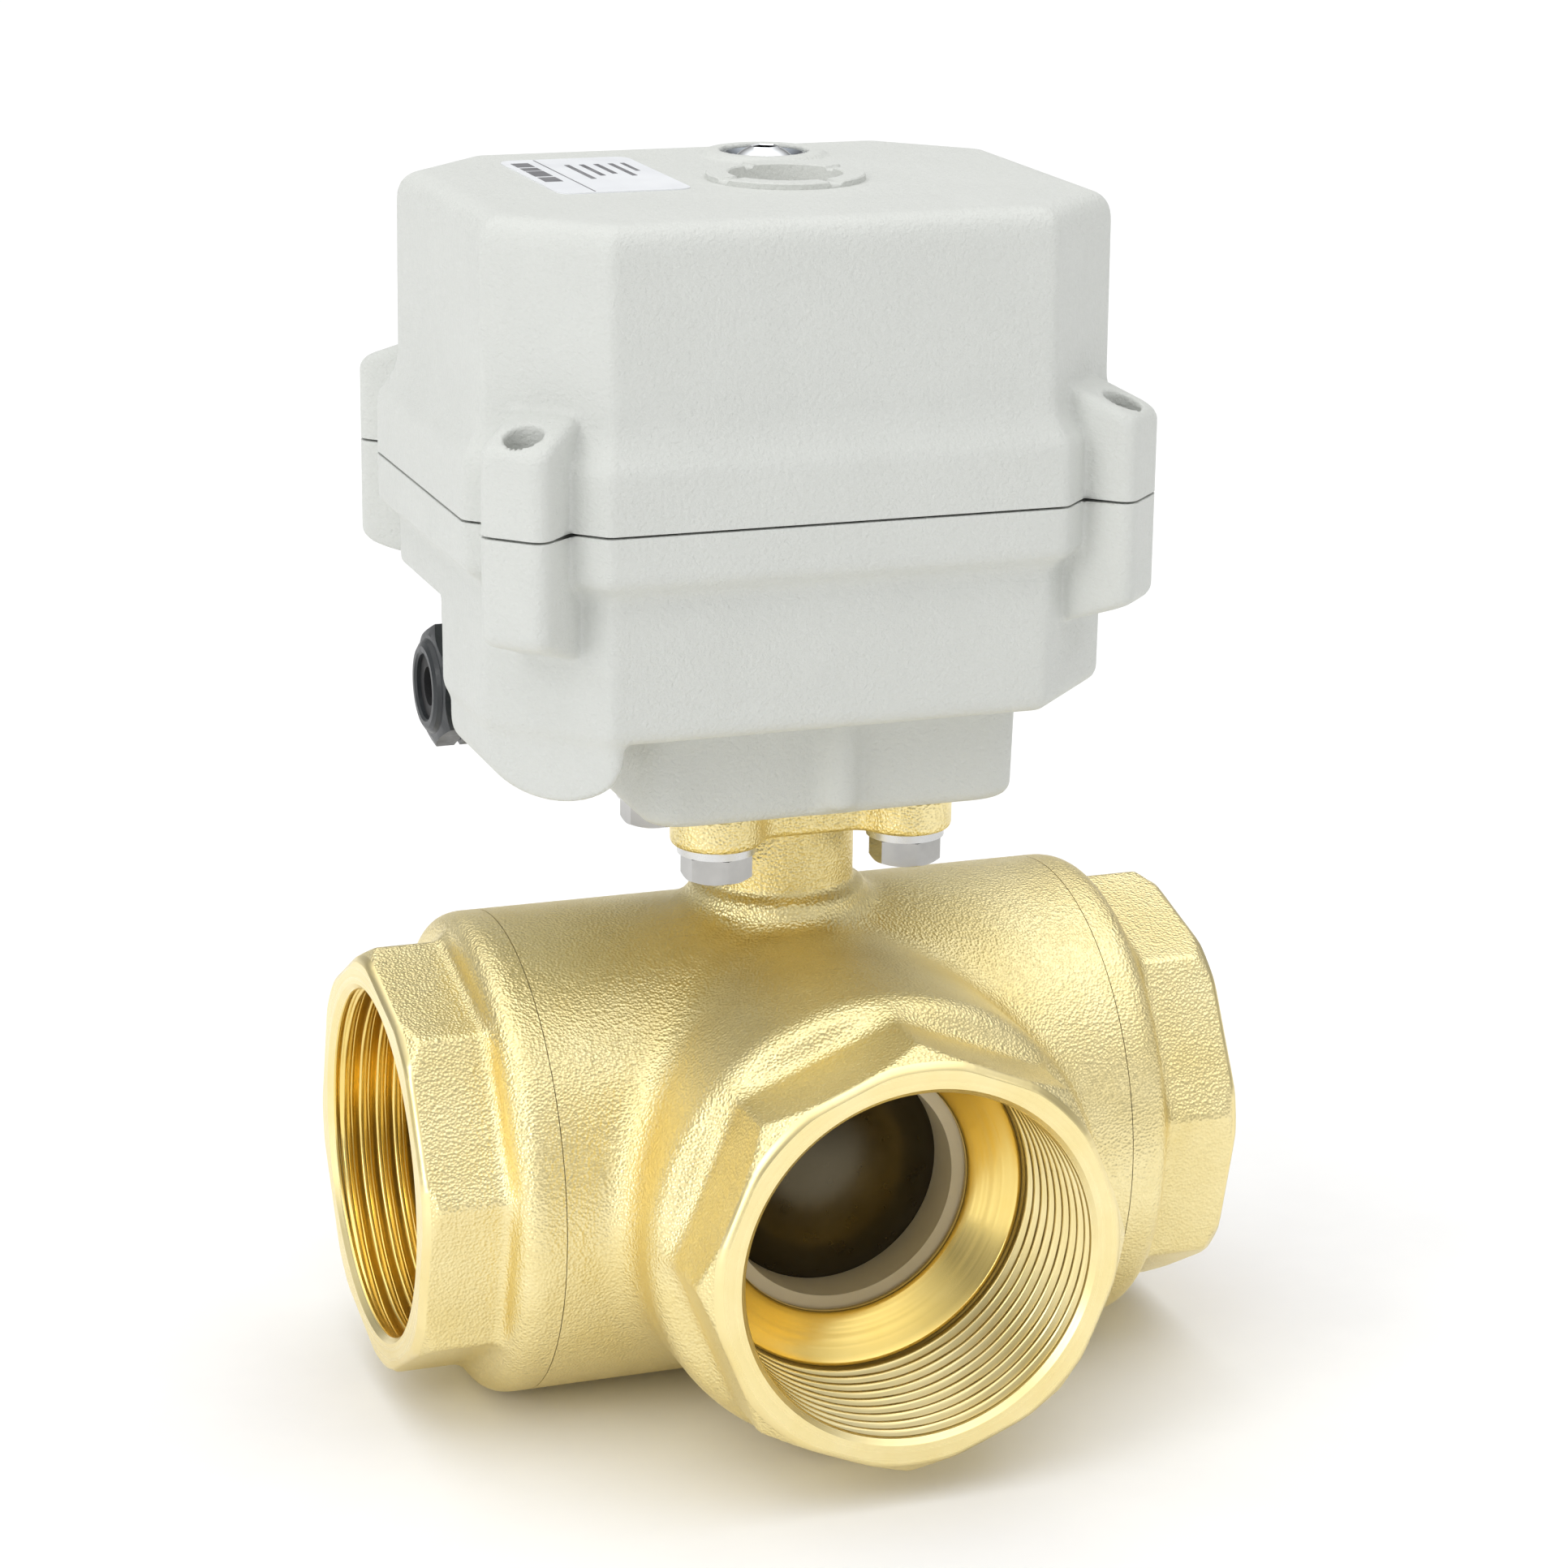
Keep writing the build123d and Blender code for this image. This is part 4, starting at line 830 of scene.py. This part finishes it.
def build_bezel():
    """Turned ring with a coned mouth round the hand override."""
    bore, top, bottom = BEZEL_BORE_R, BEZEL_HI[2], BEZEL_LO[2]
    rows = [(bore, bottom), (bore, top - 1.0), (bore + 0.15, top - 0.75), (bore + 0.95, top - 0.12)]
    rows += [(bore + 1.1, top), (BEZEL_R - 0.15, top), (BEZEL_R, top - 0.15), (BEZEL_R, bottom)]
    rows.append((bore, bottom))
    obj = lathe("override_bezel_turned", rows, 96, (OVERRIDE_X, OVERRIDE_Y), 35)
    return finish_piece(obj, "housing", "chrome", "override_bezel")


BOLT_FLATS = 8.0
BOLT_LENGTH = 12.0
BOLT_HEAD = 3.5
BOLT_R = 2.5
BOLT_FACE_R = 3.75
BOLT_FACE = 0.25


def build_bolts():
    """Hexagon bolts under the pad, with chamfered heads and a washer face."""
    under = BOLTS_HI[2] - BOLT_LENGTH
    tip = BOLTS_HI[2] - 0.1
    bolts = []
    for sx in (-1, 1):
        for sy in (-1, 1):
            rows = hex_profile(BOLT_FLATS, under - BOLT_HEAD, under - BOLT_FACE, 0.55)[:-1]
            rows += [(BOLT_FACE_R, under - BOLT_FACE), (BOLT_FACE_R, under), (BOLT_R, under)]
            rows += [(BOLT_R, tip), (0.0, tip)]
            bolts.append(lathe("bolt", rows, 96, (sx * BOLT_AT, sy * BOLT_AT), 25))
    return finish_piece(join("mounting_bolts_hex", bolts), "housing", "steel", "mounting_bolts")


def lay_along_x(obj):
    """Turns a piece built upright so that it points along -X from the gland's axis."""
    place = Matrix.Translation(Vector(to_world((0, GLAND_Y, GLAND_Z))))
    place = place @ Matrix.Rotation(-math.pi / 2, 4, "Y") @ Matrix.Rotation(math.pi / 6, 4, "Z")
    obj.data.transform(place @ Matrix.Translation(-Vector(to_world((0, 0, 0)))))
    return obj


GLAND_FLATS = 14.0
GLAND_FLANGE = 2.5
GLAND_BORE_R = 3.6
SHANK_R = 5.0
SHANK_END = 33.0
NUT_NECK = 0.9
NUT_BORE_R = 4.2


def build_gland_body():
    """Hexagon flange with a round shank that enters the base."""
    flange_out = -GLAND_LO[0]
    flange_in = flange_out - GLAND_FLANGE
    rows = hex_profile(GLAND_FLATS, flange_in, flange_out, 0.5, False, True, GLAND_BORE_R)
    flange = lathe("gland_flange", rows, 96, degrees=25)
    rows = [(GLAND_BORE_R, SHANK_END), (SHANK_R, SHANK_END), (SHANK_R, flange_in), (GLAND_BORE_R, flange_in)]
    shank = lathe("gland_shank", rows, 64)
    piece = lay_along_x(join("gland_body_hex", [flange, shank]))
    return finish_piece(piece, "housing", "black_plastic", "gland_body")


def build_gland_nut():
    """Hexagon nut with a rounded mouth."""
    near, far = -NUT_HI[0], -NUT_LO[0]
    neck = far - NUT_NECK
    rows = [(NUT_BORE_R, near)] + hex_profile(GLAND_FLATS, near, neck, 0.6, False, True)[1:-1]
    rows += [(6.1, neck), (5.75, far - 0.35), (5.2, far), (4.5, far)]
    rows += [(NUT_BORE_R, far - 0.3), (NUT_BORE_R, near)]
    piece = lay_along_x(lathe("gland_nut_hex", rows, 96, degrees=25))
    return finish_piece(piece, "housing", "black_plastic", "gland_nut")


LABEL_ROUND = 2.0
INK_SINK = 0.01
INK_UP = 0.015
# Printed bars: middle and size along x and y, from the label's middle.
LABEL_BARS = [
    (-6.4, 9.6, 2.3, 3.4), (-6.4, 6.0, 2.3, 2.4), (-6.4, 2.2, 2.3, 4.4), (-6.4, -2.6, 2.3, 3.8),
    (-1.0, 2.5, 0.7, 12.0), (0.9, 3.6, 0.7, 9.6), (2.8, 4.2, 0.7, 8.4), (4.7, 3.1, 0.7, 10.6),
    (6.3, 5.0, 0.6, 7.0),
]
LABEL_LINE = (-3.9, 0.2)
LABEL_EDGE = 0.6


def plate_mesh(name, lo, hi, radius):
    """Thin plate between two corners, with round corners in plan."""
    (x0, y0, bottom), (x1, y1, top) = lo, hi
    outline = []
    for cx, cy, start in ((x1 - radius, y1 - radius, 0), (x0 + radius, y1 - radius, 90),
                          (x0 + radius, y0 + radius, 180), (x1 - radius, y0 + radius, 270)):
        for step in range(9):
            a = math.radians(start + step * 90 / 8)
            outline.append((cx + radius * math.cos(a), cy + radius * math.sin(a)))
    n = len(outline)
    points = [(x, y, bottom) for x, y in outline] + [(x, y, top) for x, y in outline]
    faces = [(i, (i + 1) % n, n + (i + 1) % n, n + i) for i in range(n)]
    faces += [tuple(range(n, 2 * n)), tuple(reversed(range(n)))]
    return tidy_mesh(new_object(name, points, faces), 30)


def build_label_sheet():
    sheet = plate_mesh("label_sheet", LABEL_LO - (0, 0, 0.02), LABEL_HI, LABEL_ROUND)
    return finish_piece(sheet, "housing", "label", "label")


def build_label_bars():
    """Plain bars and a dividing line in place of print."""
    mid = (LABEL_LO + LABEL_HI) / 2
    bottom, top = LABEL_HI[2] - INK_SINK, LABEL_HI[2] + INK_UP
    bars = []
    for x, y, wide, tall in LABEL_BARS:
        lo = (mid[0] + x - wide / 2, mid[1] + y - tall / 2, bottom)
        hi = (mid[0] + x + wide / 2, mid[1] + y + tall / 2, top)
        bars.append(plate_mesh("bar", lo, hi, 0.12))
    line_x, line_wide = mid[0] + LABEL_LINE[0], LABEL_LINE[1]
    lo = (line_x - line_wide / 2, LABEL_LO[1] + LABEL_EDGE, bottom)
    hi = (line_x + line_wide / 2, LABEL_HI[1] - LABEL_EDGE, top)
    bars.append(plate_mesh("bar", lo, hi, 0.05))
    return finish_piece(join("label_bars", bars), "housing", "label")


body = build_body()
cap_left = build_cap(-1, "end_cap_left")
cap_right = build_cap(1, "end_cap_right")
cover = build_cover()
base = build_base()
indicator_ring = build_indicator_ring()
override_head = build_override_head()
bezel = build_bezel()
bolts = build_bolts()
gland_body = build_gland_body()
gland_nut = build_gland_nut()
label_sheet = build_label_sheet()
label_bars = build_label_bars()


# --- materials ---------------------------------------------------------------------------------
def material(name):
    mat = bpy.data.materials.new(name)
    mat.use_nodes = True
    tree = mat.node_tree
    shader = tree.nodes["Principled BSDF"]
    return mat, tree, shader


def node(tree, kind, **values):
    made = tree.nodes.new(kind)
    for key, value in values.items():
        if key in made.inputs:
            made.inputs[key].default_value = value
        else:
            setattr(made, key, value)
    return made


def link(tree, source, target):
    tree.links.new(source, target)


def coords(tree):
    return node(tree, "ShaderNodeTexCoord").outputs["Object"]


def noise(tree, vector, scale, detail=4.0, rough=0.6):
    made = node(tree, "ShaderNodeTexNoise", Scale=scale, Detail=detail, Roughness=rough)
    link(tree, vector, made.inputs["Vector"])
    return made.outputs["Fac"]


def ramp(tree, fac, stops):
    made = node(tree, "ShaderNodeValToRGB")
    elements = made.color_ramp.elements
    while len(elements) < len(stops):
        elements.new(0.5)
    for element, (place, color) in zip(elements, stops):
        element.position = place
        element.color = (*color, 1)
    link(tree, fac, made.inputs["Fac"])
    return made.outputs["Color"]


def grey(value):
    return (value, value, value)


def spotted(tree, fac, low, high, target, end=0.7):
    """Feeds a socket with a blend of two colours that follows a noise."""
    link(tree, ramp(tree, fac, [(0.3, low), (end, high)]), target)


def bump(tree, heights, shader):
    """Stacks bump layers: each is (height socket, strength, distance in metres)."""
    last = None
    for height, strength, distance in heights:
        made = node(tree, "ShaderNodeBump", Strength=strength, Distance=distance)
        link(tree, height, made.inputs["Height"])
        if last is not None:
            link(tree, last, made.inputs["Normal"])
        last = made.outputs["Normal"]
    link(tree, last, shader.inputs["Normal"])


def paint_material():
    """Die casting's fine textured paint."""
    mat, tree, shader = material("paint_fine_texture")
    where = coords(tree)
    light, dark = (0.638, 0.652, 0.622), (0.618, 0.632, 0.602)
    spotted(tree, noise(tree, where, 90, 5), dark, light, shader.inputs["Base Color"])
    spotted(tree, noise(tree, where, 900, 2), grey(0.48), grey(0.62), shader.inputs["Roughness"])
    shader.inputs["Specular IOR Level"].default_value = 0.45
    grain = (noise(tree, where, 1700, 3), 1.0, 0.00022)
    swell = (noise(tree, where, 700, 3), 0.12, 0.0002)
    bump(tree, [grain, swell], shader)
    return mat


def cast_brass():
    """Sand-blasted brass casting."""
    mat, tree, shader = material("brass_sand_blasted")
    where = coords(tree)
    light, dark = (0.94, 0.82, 0.46), (0.84, 0.70, 0.33)
    spotted(tree, noise(tree, where, 60, 6), dark, light, shader.inputs["Base Color"])
    spotted(tree, noise(tree, where, 1500, 2), grey(0.30), grey(0.46), shader.inputs["Roughness"], 0.75)
    shader.inputs["Metallic"].default_value = 1.0
    pits = node(tree, "ShaderNodeTexVoronoi", Scale=2600.0)
    link(tree, where, pits.inputs["Vector"])
    blast = (pits.outputs["Distance"], 0.85, 0.00014)
    grain = (noise(tree, where, 1300, 3), 0.22, 0.00015)
    swell = (noise(tree, where, 160, 3), 0.05, 0.0006)
    bump(tree, [blast, grain, swell], shader)
    return mat


AXIS_MASK = {"x": (0, 1, 1), "y": (1, 0, 1)}


def turning_lines(tree, where, axis):
    """Noise that depends only on the distance from an axis through the ball's centre."""
    shift = node(tree, "ShaderNodeVectorMath", operation="SUBTRACT")
    link(tree, where, shift.inputs[0])
    shift.inputs[1].default_value = tuple(ORIGIN * MM)
    across = node(tree, "ShaderNodeVectorMath", operation="MULTIPLY")
    link(tree, shift.outputs[0], across.inputs[0])
    across.inputs[1].default_value = AXIS_MASK[axis]
    radius = node(tree, "ShaderNodeVectorMath", operation="LENGTH")
    link(tree, across.outputs[0], radius.inputs[0])
    lines = node(tree, "ShaderNodeTexNoise", noise_dimensions="1D", Scale=2200, Detail=1.0)
    link(tree, radius.outputs["Value"], lines.inputs["W"])
    return lines.outputs["Fac"]


def turned_brass(name, axis, dark, light, gloss):
    """Turned brass, with fine rings about an axis."""
    mat, tree, shader = material(name + axis)
    where = coords(tree)
    lines = turning_lines(tree, where, axis)
    spotted(tree, noise(tree, where, 80, 4), dark, light, shader.inputs["Base Color"])
    spotted(tree, lines, grey(gloss[0]), grey(gloss[1]), shader.inputs["Roughness"])
    shader.inputs["Metallic"].default_value = 1.0
    bump(tree, [(lines, 0.04, 0.00004)], shader)
    return mat


def simple(name, dark, light, metallic, rough, scale, grain):
    """Surface whose colour, gloss and relief all vary with fine noise."""
    mat, tree, shader = material(name)
    where = coords(tree)
    spotted(tree, noise(tree, where, scale / 4, 4), dark, light, shader.inputs["Base Color"])
    spotted(tree, noise(tree, where, scale, 3), grey(rough[0]), grey(rough[1]), shader.inputs["Roughness"])
    shader.inputs["Metallic"].default_value = metallic
    bump(tree, [(noise(tree, where, scale * 3, 3), grain, 0.0001)], shader)
    return mat


PLASTIC, METAL = 0.0, 1.0
# Slot or use: name, darkest and lightest colour, metallic, roughness range, noise scale, relief.
SURFACES = {
    # Ball: its very dark, warm colour is painted shade, standing in for the dark cavity that the chrome ball
    # sits in and reflects.
    "ball": ("ball_chrome_painted_shade", (0.085, 0.07, 0.042), (0.13, 0.11, 0.075), METAL, (0.26, 0.36), 300, 0.05),
    # Seats: white fluoropolymer tinted cream-yellow; the tint is painted reflected light from the brass
    # around them.
    "ptfe": ("fluoropolymer_painted_brass_bounce", (0.84, 0.76, 0.54), (0.90, 0.82, 0.62), PLASTIC, (0.35, 0.45), 500, 0.1),
    "rubber": ("black_rubber", (0.012, 0.012, 0.013), (0.03, 0.03, 0.03), PLASTIC, (0.55, 0.7), 800, 0.25),
    "steel": ("bright_steel", (0.55, 0.55, 0.54), (0.72, 0.72, 0.71), METAL, (0.2, 0.36), 500, 0.12),
    "chrome": ("polished_chrome", (0.70, 0.72, 0.74), (0.8, 0.82, 0.84), METAL, (0.04, 0.09), 200, 0.03),
    "black_plastic": ("black_moulding", (0.014, 0.017, 0.019), (0.03, 0.034, 0.037),
                      PLASTIC, (0.3, 0.45), 700, 0.2),
    "bronze": ("sintered_bronze", (0.42, 0.24, 0.10), (0.55, 0.34, 0.16), METAL, (0.4, 0.55), 900, 0.3),
    "white_plastic": ("white_moulding", (0.70, 0.70, 0.68), (0.80, 0.80, 0.78),
                      PLASTIC, (0.35, 0.5), 700, 0.15),
    "board": ("circuit_board_mask", (0.02, 0.12, 0.05), (0.035, 0.18, 0.08), PLASTIC, (0.25, 0.4), 600, 0.15),
    "green_plastic": ("green_moulding", (0.03, 0.22, 0.08), (0.05, 0.3, 0.12),
                      PLASTIC, (0.35, 0.5), 700, 0.15),
    "dark_chrome": ("dark_chrome", (0.20, 0.22, 0.25), (0.32, 0.35, 0.38), METAL, (0.06, 0.14), 200, 0.03),
    "bolt": ("stainless_bolt", (0.34, 0.335, 0.32), (0.48, 0.47, 0.45), METAL, (0.08, 0.16), 500, 0.02),
    "ink": ("printed_ink", (0.10, 0.10, 0.11), (0.22, 0.22, 0.23), PLASTIC, (0.4, 0.6), 900, 0.05),
    "label": ("label_film", (0.80, 0.82, 0.85), (0.86, 0.88, 0.9), PLASTIC, (0.28, 0.36), 300, 0.05),
}
MATERIALS = {use: simple(*surface_values) for use, surface_values in SURFACES.items()}
MATERIALS["paint"] = paint_material()
MATERIALS["brass"] = cast_brass()


def port_materials(axis):
    """Casting, turned face and brighter bore of a brass piece with a port along an axis; the bore's deeper,
    more saturated gold is painted reflected light from the brass around it.
    """
    face = turned_brass("brass_turned_", axis, (0.88, 0.73, 0.34), (0.95, 0.82, 0.45), (0.24, 0.36))
    # Bore, threads and funnel: deeper, more saturated gold, which is painted reflected light from the brass
    # around them.
    bore = turned_brass("brass_bore_painted_bounce_", axis, (0.90, 0.67, 0.20), (0.95, 0.74, 0.27), (0.16, 0.27))
    return MATERIALS["brass"], face, bore


def dress(obj, *materials):
    """Fills an object's material slots in order, and keeps its faces' slot numbers."""
    slots = obj.data.materials
    for number, mat in enumerate(materials):
        if number < len(slots):
            slots[number] = mat
        else:
            slots.append(mat)


dress(body, *port_materials("y"))
end_materials = port_materials("x")
dress(cap_left, *end_materials)
dress(cap_right, *end_materials)
for piece, use in ((cover, "paint"), (base, "paint"), (indicator_ring, "paint"), (override_head, "chrome"),
                   (bezel, "dark_chrome"), (bolts, "bolt"), (gland_body, "black_plastic"),
                   (gland_nut, "black_plastic"), (label_sheet, "label"), (label_bars, "ink")):
    dress(piece, MATERIALS[use])
SLOT_OF = {part["node"]: part["material_slot"] for part in frame["record"]["subparts"]}
for name, cad in frame["nodes"].items():
    dress(cad, MATERIALS[SLOT_OF[name]])


# --- stage, lights and camera --------------------------------------------------------------------
FLOOR_HALF = 8.0
FLOOR_GAP = 0.0002


def build_stage():
    """Plain pale floor just under the valve."""
    floor_z = (-BARREL_R + ORIGIN[2]) * MM - FLOOR_GAP
    bm = bmesh.new()
    bmesh.ops.create_grid(bm, x_segments=24, y_segments=24, size=FLOOR_HALF)
    for vert in bm.verts:
        vert.co.z = floor_z
    mesh = bpy.data.meshes.new("floor")
    bm.to_mesh(mesh)
    bm.free()
    floor = bpy.data.objects.new("floor", mesh)
    bpy.context.scene.collection.objects.link(floor)
    mat, tree, shader = material("floor_paper")
    where = coords(tree)
    spotted(tree, noise(tree, where, 40, 4), grey(0.90), grey(0.93), shader.inputs["Base Color"])
    shader.inputs["Roughness"].default_value = 0.9
    shader.inputs["Specular IOR Level"].default_value = 0.2
    floor.data.materials.append(mat)


def area_light(name, place, aim, size, power):
    data = bpy.data.lights.new(name, "AREA")
    data.shape = "RECTANGLE"
    data.size, data.size_y = size
    data.energy = power
    light = bpy.data.objects.new(name, data)
    light.location = place
    light.rotation_mode = "QUATERNION"
    light.rotation_quaternion = (Vector(aim) - Vector(place)).to_track_quat("-Z", "Y")
    bpy.context.scene.collection.objects.link(light)


SOFTBOX = ("left_softbox", (-0.95, -0.40, 0.45), (0.45, 0.75), 3.3)
STRIP = ("right_strip", (0.85, -0.55, 0.30), (0.18, 0.8), 0.35)
# Brightness of the surroundings from the horizon up to straight overhead.
SKY = [(0.0, 0.60), (0.08, 0.32), (0.32, 0.20), (0.6, 0.56), (1.0, 1.45)]
SKY_STRENGTH = 1.45


def build_lights():
    for name, place, size, power in (SOFTBOX, STRIP):
        area_light(name, place, to_world((0, 0, 40)), size, power)
    world = bpy.data.worlds.new("studio")
    world.use_nodes = True
    tree = world.node_tree
    background = tree.nodes["Background"]
    sky = node(tree, "ShaderNodeTexCoord").outputs["Generated"]
    split = node(tree, "ShaderNodeSeparateXYZ")
    link(tree, sky, split.inputs[0])
    heights = [(place, grey(value)) for place, value in SKY]
    link(tree, ramp(tree, split.outputs["Z"], heights), background.inputs["Color"])
    background.inputs["Strength"].default_value = SKY_STRENGTH
    bpy.context.scene.world = world
    bpy.context.scene.view_settings.view_transform = "Standard"


# Place in millimetres about the ball centre, angles in degrees, lens on the sensor's width.
CAMERA_AT = (-175.9, -491.6, 202.0)
CAMERA_YAW = 19.77
CAMERA_PITCH = 16.64
CAMERA_ROLL = 0.70
CAMERA_SENSOR = 36
CAMERA_LENS = 96.596


def build_camera():
    yaw, pitch, roll = (math.radians(a) for a in (CAMERA_YAW, CAMERA_PITCH, CAMERA_ROLL))
    level = math.cos(pitch)
    forward = Vector((math.sin(yaw) * level, math.cos(yaw) * level, -math.sin(pitch)))
    data = bpy.data.cameras.new("camera")
    data.sensor_width = CAMERA_SENSOR
    data.lens = CAMERA_LENS
    camera = bpy.data.objects.new("camera", data)
    camera.location = to_world(CAMERA_AT)
    camera.rotation_mode = "QUATERNION"
    upright = forward.to_track_quat("-Z", "Y")
    camera.rotation_quaternion = upright @ Matrix.Rotation(roll, 3, "Z").to_quaternion()
    bpy.context.scene.collection.objects.link(camera)
    bpy.context.scene.camera = camera


build_stage()
build_lights()
build_camera()
